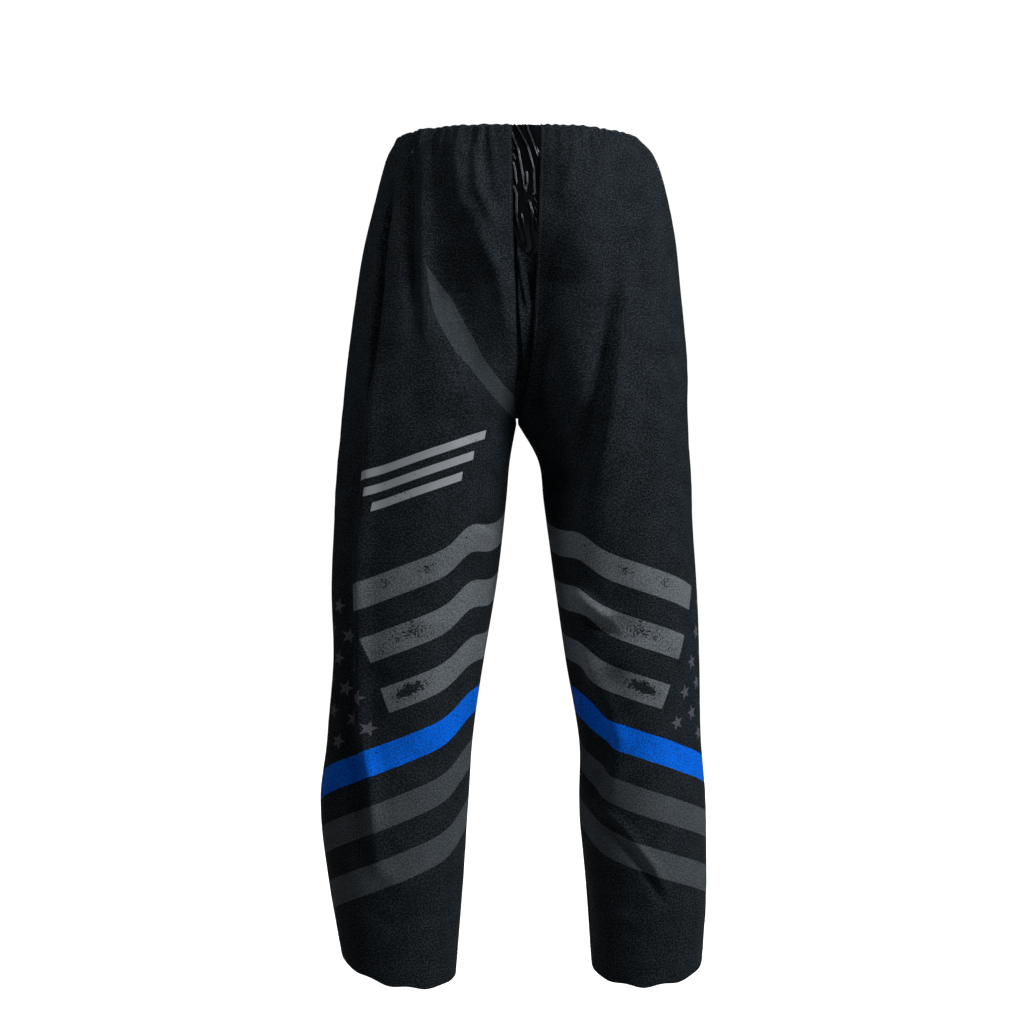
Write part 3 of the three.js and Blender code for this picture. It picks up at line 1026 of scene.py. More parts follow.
@dataclass(frozen=True)
class StripePrint:
    """The slanted stripes around the lower legs, and the star field beside the upper three."""

    first_edge: float = PRINT_TOP
    pitch: float = 0.0688
    height: float = 0.0335
    slope: float = STRIPE_SLOPE
    upper_stripes: float = 3.0
    stripes: float = 6.0
    field_edge: float = 0.2722
    field_shear: float = 0.085
    shear_from: float = 0.017
    star_margin: float = 0.013
    star_depths: tuple[float, float] = (-0.0179, 0.1925)

    def build(self, stars: bpy.types.NodeTree) -> bpy.types.NodeTree:
        """Makes the group: cloth coordinates in, masks out.

        The depth below the first slanted edge is divided by the pitch: the whole part numbers
        the stripe, and the rest says whether the place is in it. The star field lies past a line
        nearly square to the stripes, and its rows lean with that line.

        Args:
            stars: the star mask's group.
        """
        kinds = {name: FLOAT for name in ("Upper", "Lower", "Bright", "Stars", "Depth")}
        graph, given, out = new_group("stripe_print", {"Place": VECTOR}, kinds)
        u, v, _ = graph.split(given["Place"])
        length = math.hypot(1.0, self.slope)
        depth = graph.math("SUBTRACT", self.first_edge, graph.total(v, graph.product(u, self.slope)))
        along = graph.math("DIVIDE", graph.math("SUBTRACT", u, graph.product(v, self.slope)), length)
        count = graph.math("FLOOR", graph.math("DIVIDE", depth, self.pitch))
        rest = graph.math("SUBTRACT", depth, graph.product(count, self.pitch))
        inside = graph.math("LESS_THAN", rest, self.height)
        lean = graph.product(graph.math("SUBTRACT", depth, self.shear_from), self.field_shear)
        leaning = graph.total(along, lean)
        star_field = graph.math("GREATER_THAN", leaning, self.field_edge)
        open_cloth = graph.math("SUBTRACT", 1.0, star_field)
        upper = graph.within(count, -0.5, self.upper_stripes - 0.5)
        bright = graph.within(count, self.upper_stripes - 0.5, self.upper_stripes + 0.5)
        lower = graph.within(count, self.upper_stripes + 0.5, self.stripes - 0.5)
        star = graph.group(stars, Along=leaning, Across=graph.math("DIVIDE", depth, length)).outputs["Star"]
        in_field = graph.product(
            graph.math("GREATER_THAN", leaning, self.field_edge + self.star_margin),
            graph.within(depth, *self.star_depths),
        )
        graph.feed(out.inputs["Upper"], graph.product(upper, inside, open_cloth))
        graph.feed(out.inputs["Bright"], graph.product(bright, inside))
        graph.feed(out.inputs["Lower"], graph.product(lower, inside))
        graph.feed(out.inputs["Stars"], graph.product(star, in_field))
        graph.feed(out.inputs["Depth"], depth)
        return graph.tree


@dataclass(frozen=True)
class WornPrint:
    """Ink missing in specks and in a few larger flakes, as on a distressed print."""

    speck_scale: float = 420.0
    flake_scale: float = 150.0
    cluster_scale: float = 24.0
    cluster_strength: float = 0.40
    speck_from: float = 0.715
    flake_from: float = 0.72
    spots: tuple[tuple[float, float, float, float, float], ...] = (
        (-0.006, 0.152, 0.017, 0.0085, 0.36),
        (-0.030, 0.148, 0.010, 0.0120, 0.10),
        (-0.002, 0.086, 0.030, 0.0130, 0.19),
        (-0.018, 0.016, 0.012, 0.0060, 0.20),
        (0.020, 0.012, 0.030, 0.0100, 0.07),
    )

    def build(self) -> bpy.types.NodeTree:
        """Makes the group: cloth coordinates and the depth into the print in, missing ink out.

        Fine noise above a threshold makes the specks, and rougher noise the flakes. Slow noise
        and a few bells, each with its place, size and strength, bring them over the threshold.
        """
        graph, given, out = new_group(
            "worn_print", {"Place": VECTOR, "Depth": FLOAT}, {"Missing": FLOAT}
        )
        specks = graph.noise(given["Place"], self.speck_scale, 1.0, 0.5)
        flakes = graph.noise(given["Place"], self.flake_scale, 4.0, 0.75)
        cluster = graph.noise(given["Place"], self.cluster_scale, 2.0, 0.5)
        u, _, _ = graph.split(given["Place"])
        gathered = graph.product(graph.math("SUBTRACT", cluster, 0.5), self.cluster_strength)
        for place, depth, wide, tall, strength in self.spots:
            du = graph.math("DIVIDE", graph.math("SUBTRACT", u, place), wide)
            dv = graph.math("DIVIDE", graph.math("SUBTRACT", given["Depth"], depth), tall)
            square = graph.total(graph.product(du, du), graph.product(dv, dv))
            near = graph.math("EXPONENT", graph.product(square, -1.0))
            gathered = graph.total(gathered, graph.product(near, strength))
        small = graph.math("GREATER_THAN", graph.total(specks, gathered), self.speck_from)
        large = graph.math("GREATER_THAN", graph.total(flakes, gathered), self.flake_from)
        graph.feed(out.inputs["Missing"], graph.math("MAXIMUM", small, large))
        return graph.tree


@dataclass(frozen=True)
class ThighPrint:
    """The slanted band on the right thigh, and plain parallel bars below it."""

    band_from: tuple[float, float] = (-0.0904, -0.1984)
    band_to: tuple[float, float] = (-0.0032, -0.3236)
    band_bow: float = 0.0081
    band_half_width: float = 0.0130
    band_narrowing: float = 0.0034
    band_start: float = -0.1125
    band_start_ease: tuple[float, float] = (-0.006, 0.010)
    band_seam: float = -0.0005
    band_widens: tuple[float, float] = (-0.30, 0.14)
    band_narrows: tuple[float, float] = (0.40, 0.60)
    bars_centre: tuple[float, float] = (-0.112, -0.403)
    bars_slope: float = 0.345
    bar_pitch: float = 0.0185
    bar_half_width: float = 0.0046
    bar_half_length: float = 0.066
    bar_lean: float = 0.55
    bar_growth: float = 0.16

    def build(self) -> bpy.types.NodeTree:
        """Makes the group: front coordinates in, masks of the band and of the bars out.

        The band is the set of places near a shallow parabola: a straight line less a bow times
        t(1 - t), where t runs from 0 to 1 along it. It widens from its upper end and narrows again
        past the middle. The bars are three strips along a second direction, with slanted ends,
        each a little shorter than the one above it.
        """
        graph, given, out = new_group(
            "thigh_print", {"Front": VECTOR}, {"Band": FLOAT, "Bars": FLOAT}
        )
        x, z, _ = graph.split(given["Front"])
        run = np.array(self.band_to) - np.array(self.band_from)
        length = float(np.linalg.norm(run))
        run = run / length
        from_x = graph.math("SUBTRACT", x, self.band_from[0])
        from_z = graph.math("SUBTRACT", z, self.band_from[1])
        right, down = float(run[0]), float(run[1])
        straight = graph.math("SUBTRACT", graph.product(from_x, down), graph.product(from_z, right))
        t = graph.total(
            graph.product(from_x, float(run[0] / length)), graph.product(from_z, float(run[1] / length))
        )
        bow = graph.product(t, graph.math("SUBTRACT", 1.0, t), 4 * self.band_bow)
        across = graph.math("SUBTRACT", straight, bow)
        widening = graph.product(graph.ease(t, *self.band_widens), self.band_half_width)
        narrowing = graph.product(graph.ease(t, *self.band_narrows), self.band_narrowing)
        half_width = graph.math("SUBTRACT", widening, narrowing)
        near = graph.math("LESS_THAN", graph.math("ABSOLUTE", across), half_width)
        low, high = (self.band_start + step for step in self.band_start_ease)
        shown = graph.product(graph.ease(x, low, high), graph.math("LESS_THAN", x, self.band_seam))
        graph.feed(out.inputs["Band"], graph.product(near, shown))
        angle = math.atan(self.bars_slope)
        dx = graph.math("SUBTRACT", x, self.bars_centre[0])
        dz = graph.math("SUBTRACT", z, self.bars_centre[1])
        along = graph.total(graph.product(dx, math.cos(angle)), graph.product(dz, math.sin(angle)))
        up = graph.math("SUBTRACT", graph.product(dz, math.cos(angle)), graph.product(dx, math.sin(angle)))
        slanted = graph.math("SUBTRACT", along, graph.product(up, self.bar_lean))
        bars: Socket | None = None
        for number in (-1, 0, 1):
            off = graph.math("ABSOLUTE", graph.math("SUBTRACT", up, number * self.bar_pitch))
            reach = self.bar_half_length * (1 + self.bar_growth * number)
            bar = graph.product(
                graph.math("LESS_THAN", off, self.bar_half_width),
                graph.math("LESS_THAN", graph.math("ABSOLUTE", slanted), reach),
            )
            bars = bar if bars is None else graph.math("MAXIMUM", bars, bar)
        graph.feed(out.inputs["Bars"], bars)
        return graph.tree


# ---------------------------------------------------------------------------------------------
# Finishes
# ---------------------------------------------------------------------------------------------

Colour = tuple[float, float, float, float]
# Between these values the grain's tone turns from the dark of the yarn to its light.
TONE_RANGE = (0.44, 0.62)
KNIT_SPECULAR = 0.02


class Finishes:
    """Builds the shared groups once, and each finish from them."""

    def __init__(self) -> None:
        """Builds the groups."""
        self.grain = KnitGrain().build()
        self.stripes = StripePrint().build(StarMask().build())
        self.worn = WornPrint().build()
        self.thigh = ThighPrint().build()

    @staticmethod
    def start(name: str) -> tuple[bpy.types.Material, Graph, bpy.types.Node]:
        """A new material, its graph and its surface shader."""
        material = bpy.data.materials.new(name)
        material.use_nodes = True
        graph = Graph(material.node_tree)
        shader = next(n for n in material.node_tree.nodes if n.type == "BSDF_PRINCIPLED")
        return material, graph, shader

    @staticmethod
    def place(graph: Graph, label: str) -> Socket:
        """The coordinates of a UV map, in metres of cloth."""
        return graph.node("ShaderNodeUVMap", uv_map=label).outputs[0]

    @staticmethod
    def bump(graph: Graph, shader: bpy.types.Node, height: Socket, distance: float, strength: float) -> None:
        """Feeds a height to the shader's normal."""
        made = graph.node("ShaderNodeBump")
        made.inputs["Distance"].default_value = distance
        made.inputs["Strength"].default_value = strength
        graph.feed(made.inputs["Height"], height)
        graph.feed(shader.inputs["Normal"], made.outputs[0])


@dataclass(frozen=True)
class PrintedKnit:
    """The panels' knit, with its print."""

    name: str
    thigh_print: bool
    ground: Colour = (0.0030, 0.0044, 0.0056, 1)
    ground_light: Colour = (0.0190, 0.0246, 0.0296, 1)
    upper_ink: Colour = (0.108, 0.122, 0.134, 1)
    lower_ink: Colour = (0.054, 0.063, 0.071, 1)
    bright_ink: Colour = (0.0, 0.114, 0.66, 1)
    star_ink: Colour = (0.076, 0.077, 0.092, 1)
    band_ink: Colour = (0.0330, 0.0400, 0.0460, 1)
    bar_ink: Colour = (0.205, 0.222, 0.240, 1)
    roughness: float = 0.68

    def build(self, kit: Finishes) -> bpy.types.Material:
        """Makes the material: ground, then each print over it, less the worn places."""
        material, graph, shader = kit.start(self.name)
        cut = kit.place(graph, "Cut")
        grain = graph.group(kit.grain, Place=cut)
        tone = graph.ease(grain.outputs["Tone"], *TONE_RANGE)
        printed = graph.group(kit.stripes, Place=cut).outputs
        missing = graph.group(kit.worn, Place=cut, Depth=printed["Depth"]).outputs["Missing"]
        kept = graph.math("SUBTRACT", 1.0, missing)
        colour = graph.mix(tone, self.ground, self.ground_light)
        shade = graph.math("MULTIPLY_ADD", tone, 0.80, 0.47)
        for mask, ink, wears in (
            (printed["Upper"], self.upper_ink, True),
            (printed["Lower"], self.lower_ink, False),
            (printed["Stars"], self.star_ink, False),
            (printed["Bright"], self.bright_ink, True),
        ):
            share = graph.product(mask, kept) if wears else mask
            colour = graph.mix(graph.product(share, shade), colour, ink)
        if self.thigh_print:
            thigh = graph.group(kit.thigh, Front=kit.place(graph, "Front")).outputs
            colour = graph.mix(graph.product(thigh["Band"], shade), colour, self.band_ink)
            colour = graph.mix(graph.product(thigh["Bars"], kept), colour, self.bar_ink)
        graph.feed(shader.inputs["Base Color"], colour)
        graph.feed(shader.inputs["Roughness"], graph.math("MULTIPLY_ADD", tone, -0.10, self.roughness))
        shader.inputs["Specular IOR Level"].default_value = KNIT_SPECULAR
        kit.bump(graph, shader, grain.outputs["Height"], 0.0004, 0.8)
        return material


@dataclass(frozen=True)
class PlainKnit:
    """Unprinted knit: the gusset, the tape and the inner face of the panels."""

    name: str
    ground: Colour
    light: Colour
    roughness: float = 0.8

    def build(self, kit: Finishes) -> bpy.types.Material:
        """Makes the material from the grain alone."""
        material, graph, shader = kit.start(self.name)
        grain = graph.group(kit.grain, Place=kit.place(graph, "Cut"))
        tone = graph.ease(grain.outputs["Tone"], *TONE_RANGE)
        graph.feed(shader.inputs["Base Color"], graph.mix(tone, self.ground, self.light))
        graph.feed(shader.inputs["Roughness"], graph.math("MULTIPLY_ADD", tone, -0.1, self.roughness))
        shader.inputs["Specular IOR Level"].default_value = KNIT_SPECULAR
        kit.bump(graph, shader, grain.outputs["Height"], 0.0002, 0.5)
        return material


@dataclass(frozen=True)
class Satin:
    """Glossy woven satin: a black ground whose floats run across the gusset."""

    name: str = "satin"
    ground: Colour = (0.0004, 0.0005, 0.0008, 1)
    light: Colour = (0.0014, 0.0017, 0.0023, 1)
    float_pitch: float = 0.0005

    def build(self, kit: Finishes) -> bpy.types.Material:
        """Makes the material: fine floats in the bump, and slow noise in the gloss."""
        material, graph, shader = kit.start(self.name)
        place = kit.place(graph, "Cut")
        _, v, _ = graph.split(place)
        floats = graph.math("SINE", graph.product(v, 2 * math.pi / self.float_pitch))
        cloud = graph.noise(place, 140.0, 3.0, 0.6)
        graph.feed(shader.inputs["Base Color"], graph.mix(cloud, self.ground, self.light))
        graph.feed(shader.inputs["Roughness"], graph.math("MULTIPLY_ADD", cloud, 0.08, 0.22))
        shader.inputs["Specular IOR Level"].default_value = 0.24
        shader.inputs["Specular Tint"].default_value = (0.80, 0.88, 1.0, 1)
        kit.bump(graph, shader, floats, 0.00004, 0.12)
        return material


@dataclass(frozen=True)
class Thread:
    """Spun thread, seen as small twisted beads."""

    name: str
    colour: Colour
    light: Colour

    def build(self, kit: Finishes) -> bpy.types.Material:
        """Makes the material: slanted bands for the twist, in object coordinates."""
        material, graph, shader = kit.start(self.name)
        place = graph.node("ShaderNodeTexCoord").outputs["Object"]
        x, y, z = graph.split(place)
        twist = graph.math("SINE", graph.product(graph.total(x, y, z), 2 * math.pi / 0.0006))
        share = graph.math("MULTIPLY_ADD", twist, 0.4, 0.5)
        graph.feed(shader.inputs["Base Color"], graph.mix(share, self.colour, self.light))
        shader.inputs["Roughness"].default_value = 0.55
        shader.inputs["Specular IOR Level"].default_value = 0.12
        kit.bump(graph, shader, twist, 0.0001, 0.4)
        return material


@dataclass(frozen=True)
class WovenBand:
    """Ribbed woven elastic, or the plain weave of a label."""

    name: str
    ground: Colour
    light: Colour
    rib_pitch: float

    def build(self, kit: Finishes) -> bpy.types.Material:
        """Makes the material: ribs across the band, and a fine weave over them."""
        material, graph, shader = kit.start(self.name)
        place = kit.place(graph, "Cut")
        u, v, _ = graph.split(place)
        rib = graph.math("SINE", graph.product(v, 2 * math.pi / self.rib_pitch))
        weave = graph.product(graph.math("SINE", graph.product(u, 2 * math.pi / 0.0009)), rib)
        share = graph.math("MULTIPLY_ADD", weave, 0.3, 0.5)
        graph.feed(shader.inputs["Base Color"], graph.mix(share, self.ground, self.light))
        shader.inputs["Roughness"].default_value = 0.82
        shader.inputs["Specular IOR Level"].default_value = 0.2
        kit.bump(graph, shader, graph.total(rib, weave), 0.0003, 0.6)
        return material


# ---------------------------------------------------------------------------------------------
# Sewn pieces
# ---------------------------------------------------------------------------------------------


@dataclass(frozen=True)
class PrintLay:
    """How the print lies on one leg: raised, stretched, twisted, bent up at a fold and shifted."""

    rise: float
    stretch: float
    twist: float
    bend: float
    bend_x: float
    bend_width: float
    shift: float


PRINT_LAY = {
    Side.RIGHT: PrintLay(0.0, 1.0, 0.0, 0.0155, -0.054, 0.020, 0.0),
    Side.LEFT: PrintLay(0.0028, 0.97, 0.037, 0.0110, 0.072, 0.020, 0.0126),
}


@dataclass
class LegPanels:
    """The four knitted panels, each sewn in an upper and a lower length that meet on the thigh."""

    cloth: Cloth
    columns: int = 150
    row_pitch: float = 0.0027
    thickness: float = 0.0008
    meeting: float = -0.510
    casing_inset: float = 0.0079
    casing_depth: float = 0.032
    top_roll: float = 0.0042
    hem_inset: float = 0.0022
    hem_depth: float = 0.022
    hem_roll: float = 0.0012
    wave_reach: float = 0.05
    scallop_height: float = 0.0006
    scallop_count: int = 61
    scallop_depth: float = 0.012
    knee_give: float = 0.095
    hip_give: float = 0.145
    hip_slant: tuple[float, float] = (0.567, -0.824)
    upper_cut: tuple[float, float] = (0.345, 0.560)
    upper_area: float = 0.140
    lower_cut: tuple[float, float] = (0.290, 0.520)
    lower_area: float = 0.125

    def upper_path(self) -> tuple[Array, Array]:
        """The path down an upper length: up inside the casing, over the top and down outside.

        Returns:
            Heights and insets along the path. The top is a half ellipse.
        """
        turn = np.linspace(0, math.pi, 9)
        rolled_inset = self.casing_inset * (1 + np.cos(turn)) / 2
        rolled_height = self.top_roll * (np.sin(turn) - 1)
        inside = np.arange(-self.casing_depth, -self.top_roll, self.row_pitch)
        outside = np.linspace(-self.top_roll, self.meeting, int((-self.meeting) / self.row_pitch))[1:]
        heights = np.concatenate([inside, rolled_height, outside])
        within = np.full_like(inside, self.casing_inset)
        insets = np.concatenate([within, rolled_inset, np.zeros_like(outside)])
        return heights, insets

    def lower_path(self) -> tuple[Array, Array]:
        """The path down a lower length: down outside, round the fold and up inside the hem."""
        hem = self.cloth.form.hem
        turn = np.linspace(0, math.pi, 7)
        rolled_inset = self.hem_inset * (1 - np.cos(turn)) / 2
        rolled_height = hem + self.hem_roll * (1 - np.sin(turn))
        rows = int((self.meeting - hem) / self.row_pitch)
        outside = np.linspace(self.meeting, hem + self.hem_roll, rows)[:-1]
        inside = np.arange(hem + self.hem_roll + self.row_pitch, hem + self.hem_depth, self.row_pitch)
        heights = np.concatenate([outside, rolled_height, inside])
        within = np.full_like(inside, self.hem_inset)
        insets = np.concatenate([np.zeros_like(outside), rolled_inset, within])
        return heights, insets

    def surface(self, name: str, side: Side, face: Face, path: tuple[Array, Array]) -> bpy.types.Object:
        """One length of one panel.

        Args:
            name: the piece's name.
            side: the wearer's side.
            face: front or back.
            path: heights and insets of the rows.

        Returns:
            The surface, with two UV maps: "Cut" holds the distance from the middle of the panel
            towards the outseam and the height, and "Front" holds x and the height.
        """
        form = self.cloth.form
        z, inset = path[0][:, None], path[1][:, None]
        share = np.linspace(0, 1, self.columns)[None, :]
        angle = share * form.far_angle(side, face, z)
        place, normal = self.cloth.at(side, face, angle, z + 0 * share, inset + 0 * share)
        flat, _ = form.point(side, face, angle, z + 0 * share)
        step = np.linalg.norm(np.diff(flat[..., :2], axis=1), axis=-1)
        along = np.concatenate([np.zeros((len(z), 1)), np.cumsum(step, axis=1)], axis=1)
        middle = np.array([np.interp(math.pi / 2, a, s) for a, s in zip(angle, along)])[:, None]
        reach = middle - along
        lay = PRINT_LAY[side]
        drawn = lay.bend * bell(flat[..., 0] - lay.bend_x, lay.bend_width)
        fallen = flat[..., 2] - drawn - lay.twist * reach - PRINT_TOP
        level = fallen / lay.stretch + PRINT_TOP - lay.rise
        cut = np.stack([reach - lay.shift, level + STRIPE_SLOPE * lay.shift], axis=-1)
        front = np.stack([flat[..., 0], z + 0 * share], axis=-1)
        near_hem = smooth((form.hem + self.wave_reach - z) / self.wave_reach)
        wave = self.cloth.folds.hem_wave * np.sin(9 * angle + 2.0 * side.value) * near_hem
        turn = np.arctan2(flat[..., 1], flat[..., 0])
        near_top = smooth((z + self.scallop_depth) / self.scallop_depth)
        scallop = self.scallop_height * np.sin(self.scallop_count * turn + 2.2 * np.sin(5 * turn)) * near_top
        place[..., 2] += wave * np.sin(angle) ** 2 + scallop
        piece = grid_object(name, place, {"Cut": cut, "Front": front}, normal)
        thicken(piece, self.thickness, lining=True)
        return piece

    def build(self, side: Side, face: Face, outer: bpy.types.Material, inner: bpy.types.Material) -> None:
        """Makes both lengths of a panel and dresses them."""
        stem = f"{side.word}_{face.word}"
        upper = self.surface(f"{stem}_panel_upper", side, face, self.upper_path())
        lower = self.surface(f"{stem}_panel_lower", side, face, self.lower_path())
        for piece in (upper, lower):
            piece.data.materials.append(outer)
            piece.data.materials.append(inner)
        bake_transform(upper)
        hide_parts(f"{stem}_seat", f"{stem}_hip", f"{stem}_thigh")
        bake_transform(lower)
        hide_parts(f"{stem}_knee", f"{stem}_shin")
        LOG.info("panel %s built in two lengths", stem)


SATIN_CREASES = tuple(
    Crease(path, height, width, fade=fade)
    for path, height, width, fade in (
        (
            (
                (-0.0105, 0.014), (0.0018, -0.0088), (0.0113, -0.0267), (0.0182, -0.0516),
                (0.0197, -0.0819), (0.0134, -0.09), (0.0169, -0.1026), (0.0162, -0.1231),
                (0.0197, -0.1411), (0.0169, -0.148), (0.0113, -0.1467),
            ),
            0.0024, 0.0011, 0.006,
        ),
        (
            (
                (-0.017, 0.014), (-0.0066, -0.013), (0.0003, -0.0309), (0.0059, -0.0624),
                (0.0087, -0.0804),
            ),
            0.0024, 0.0012, 0.006,
        ),
        (
            ((0.0044, 0.014), (0.0141, -0.013), (0.0193, -0.0273), (0.0238, -0.0405)),
            0.002, 0.0012, 0.006,
        ),
        (((0.0104, -0.0532), (0.0107, -0.0685), (0.0088, -0.0804)), 0.0018, 0.0011, 0.006),
        (
            (
                (-0.0059, -0.0708), (-0.0017, -0.0819), (-0.0017, -0.1095), (0.0031, -0.1314),
                (0.0113, -0.1467),
            ),
            0.0024, 0.0012, 0.006,
        ),
        (((0.0038, -0.1026), (0.0078, -0.1222), (0.0128, -0.1467)), 0.002, 0.0011, 0.006),
        (((-0.0061, -0.0426), (-0.0027, -0.057), (-0.0015, -0.0723)), 0.0015, 0.0011, 0.006),
        (((0.0247, -0.0359), (0.0215, -0.0264)), 0.0013, 0.001, 0.003),
        (((0.0247, -0.0953), (0.0188, -0.0858)), 0.0015, 0.001, 0.003),
        (((0.0247, -0.1049), (0.0193, -0.0963)), 0.0015, 0.001, 0.003),
        (((0.0242, -0.1155), (0.0193, -0.1078)), 0.0015, 0.001, 0.003),
        (((0.0236, -0.127), (0.02, -0.1202)), 0.0013, 0.001, 0.003),
        (((-0.0282, 0.014), (-0.0067, -0.0235), (-0.0023, -0.0312)), 0.0014, 0.001, 0.003),
        (((-0.0065, -0.034), (-0.0019, -0.0426)), 0.0014, 0.001, 0.003),
    )
)

LOWER_CREASES = (
    Crease(
        ((-0.001, -0.14), (0.0036, -0.1624), (0.008, -0.19), (0.0128, -0.218)),
        0.0046, 0.0036, fade=0.02,
    ),
    Crease(((0.01, -0.16), (0.015, -0.185), (0.0168, -0.21)), 0.003, 0.0028, Relief.VALLEY, fade=0.02),
    Crease(
        ((-0.0036, -0.12), (-0.0014, -0.2), (0.0012, -0.266), (-0.0008, -0.3)),
        0.0045, 0.0019, Relief.VALLEY, fade=0.02,
    ),
    Crease(((0.0159, -0.2448), (0.0092, -0.2486)), 0.0011, 0.0016),
    Crease(((0.0155, -0.2582), (0.0092, -0.262)), 0.0011, 0.0016),
    Crease(((0.0131, -0.2716), (0.0073, -0.2735)), 0.0011, 0.0016),
    Crease(((0.0121, -0.2927), (0.0064, -0.2946)), 0.0012, 0.0016),
)


@dataclass
class Gusset:
    """A strip let in between the front panels, tucked under their edges."""

    cloth: Cloth
    name: str
    top: float
    bottom: float
    creases: tuple[Crease, ...]
    cut: tuple[float, float]
    area: float
    inset: float = 0.0021
    tuck: float = 0.0045
    thickness: float = 0.0005
    casing_inset: float = 0.0060
    casing_depth: float = 0.032
    folded: bool = False
    round_end: float = 0.0
    end_x: float = 0.0165
    end_reach: tuple[float, float] = (0.0092, 0.0284)
    sink: float = 0.0022
    sink_from: float = 0.030
    sink_ease: float = 0.03
    follows: float = 0.25
    hidden_share: float = 0.4
    hidden_ease: float = 0.004
    columns: int = 84
    row_pitch: float = 0.0009

    def path(self) -> tuple[Array, Array]:
        """Heights and insets of the rows, over the top of the casing if the strip is folded."""
        outside = np.arange(self.top, self.bottom - self.row_pitch / 2, -self.row_pitch)
        if not self.folded:
            return outside, np.full_like(outside, self.inset)
        turn = np.linspace(0, math.pi, 8)
        middle, half = (self.casing_inset + self.inset) / 2, (self.casing_inset - self.inset) / 2
        inside = np.arange(-self.casing_depth, self.top, 0.003)
        heights = np.concatenate([inside, self.top + 0.0018 * np.sin(turn), outside[1:]])
        within = np.full_like(inside, self.casing_inset)
        below = np.full_like(outside[1:], self.inset)
        return heights, np.concatenate([within, middle + half * np.cos(turn), below])

    def build(self, material: bpy.types.Material, slot: str, node: str) -> None:
        """Makes the strip, dresses it and fixes it to the seat.

        Each place is found by its x. The puckers are lifts along the normal that fade out under
        the panels' edges.

        Args:
            material: the finish.
            slot: the record's material slot. Not used.
            node: the CAD node that the strip stands for.
        """
        form, folds = self.cloth.form, self.cloth.folds
        heights, insets = self.path()
        share = np.linspace(-1, 1, self.columns)[None, :]
        down = np.clip((self.top - heights) / (self.top - self.bottom), 0, 1)[:, None]
        end = share * np.where(share > 0, self.end_reach[1], self.end_reach[0])
        across = (end - self.end_x) / self.end_reach[1]
        rows = heights[:, None] + self.round_end * across * across * down**6
        insets = insets + self.sink * smooth(-(heights + self.sink_from) / self.sink_ease)
        points = np.empty((len(heights), self.columns, 3))
        normals = np.empty_like(points)
        for side in Side:
            own = np.sign(share[0]) == side.value
            z = rows[:, own]
            reach = form.gusset_edge(side, z) + self.tuck
            x = np.abs(share[:, own]) * reach
            place, normal = form.point(side, Face.FRONT, form.angle_at(side, x, z), z + 0 * x)
            lift = folds.lift(place, Face.FRONT, form) * self.follows
            hidden = smooth((reach - x - self.hidden_share * self.tuck) / self.hidden_ease)
            for crease in self.creases:
                lift = lift + crease.lift(place[..., 0], z + 0 * x) * hidden
            swell = folds.swell(place, Face.FRONT)
            points[:, own] = place + swell + normal * (lift - insets[:, None])[..., None]
            normals[:, own] = normal
        cut = np.stack([points[..., 0], rows], axis=-1)
        piece = grid_object(self.name, points, {"Cut": cut}, normals)
        piece.data.materials.append(material)
        thicken(piece, self.thickness)
        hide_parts(node)
        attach(piece, "seat")
        LOG.info("%s built", self.name)


Row = tuple[Array, Array, Array]


@dataclass
class Stitching:
    """Rows of single stitches along the seams, the waist and the hems."""

    cloth: Cloth
    pitch: float = 0.0030
    half_length: float = 0.0011
    half_width: float = 0.00032
    half_height: float = 0.00028
    samples: int = 160
    edge_offset: float = 0.0026

    def row(self, line: Array, normal: Array, lean: float = 0.0) -> Row:
        """Stitches along one line.

        Args:
            line: points on the cloth.
            normal: outward normals at them.
            lean: how far each stitch turns across the line, in radians, left and right in turn.

        Returns:
            Centres, directions and normals of the stitches.
        """
        index = evenly(line, self.pitch)
        centre, out = sampled(line, index), unit(sampled(normal, index))
        ahead = unit(sampled(np.gradient(line, axis=0), index))
        across = np.cross(out, ahead)
        turn = lean * np.where(np.arange(len(index)) % 2 == 0, 1.0, -1.0)[:, None]
        along = ahead * np.cos(turn) + across * np.sin(turn)
        return centre + out * (self.half_height * 0.4), along, out

    def make(self, name: str, rows: list[Row], material: bpy.types.Material, body: str, node: str) -> None:
        """Makes one piece of all the stitches of a seam."""
        centres, along, out = (np.concatenate(parts) for parts in zip(*rows))
        size = (self.half_length, self.half_width, self.half_height)
        piece = stitch_object(name, centres, along, out, size)
        piece.data.materials.append(material)
        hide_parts(node)
        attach(piece, body)
        LOG.info("%s: %d stitches", name, len(centres))

    def around(self, z: float, sides: tuple[Side, ...]) -> list[Row]:
        """Rows around a hem or the waist at one height."""
        rows = []
        for side in sides:
            for face in Face:
                height = np.full(self.samples, z)
                far = self.cloth.form.far_angle(side, face, height)
                angle = np.linspace(0.012, 0.988, self.samples) * far
                place, normal = self.cloth.at(side, face, angle, height, np.zeros(self.samples))
                rows.append(self.row(place, normal))
        return rows

    def beside_gusset(self, side: Side, bottom: float) -> list[Row]:
        """A row of leaning stitches down a front panel's edge beside the gusset."""
        form = self.cloth.form
        z = np.linspace(-0.006, bottom, 200)
        angle = form.angle_at(side, form.gusset_edge(side, z) + self.edge_offset, z)
        place, normal = self.cloth.at(side, Face.FRONT, angle, z, np.zeros_like(z))
        return [self.row(place, normal, lean=0.6)]


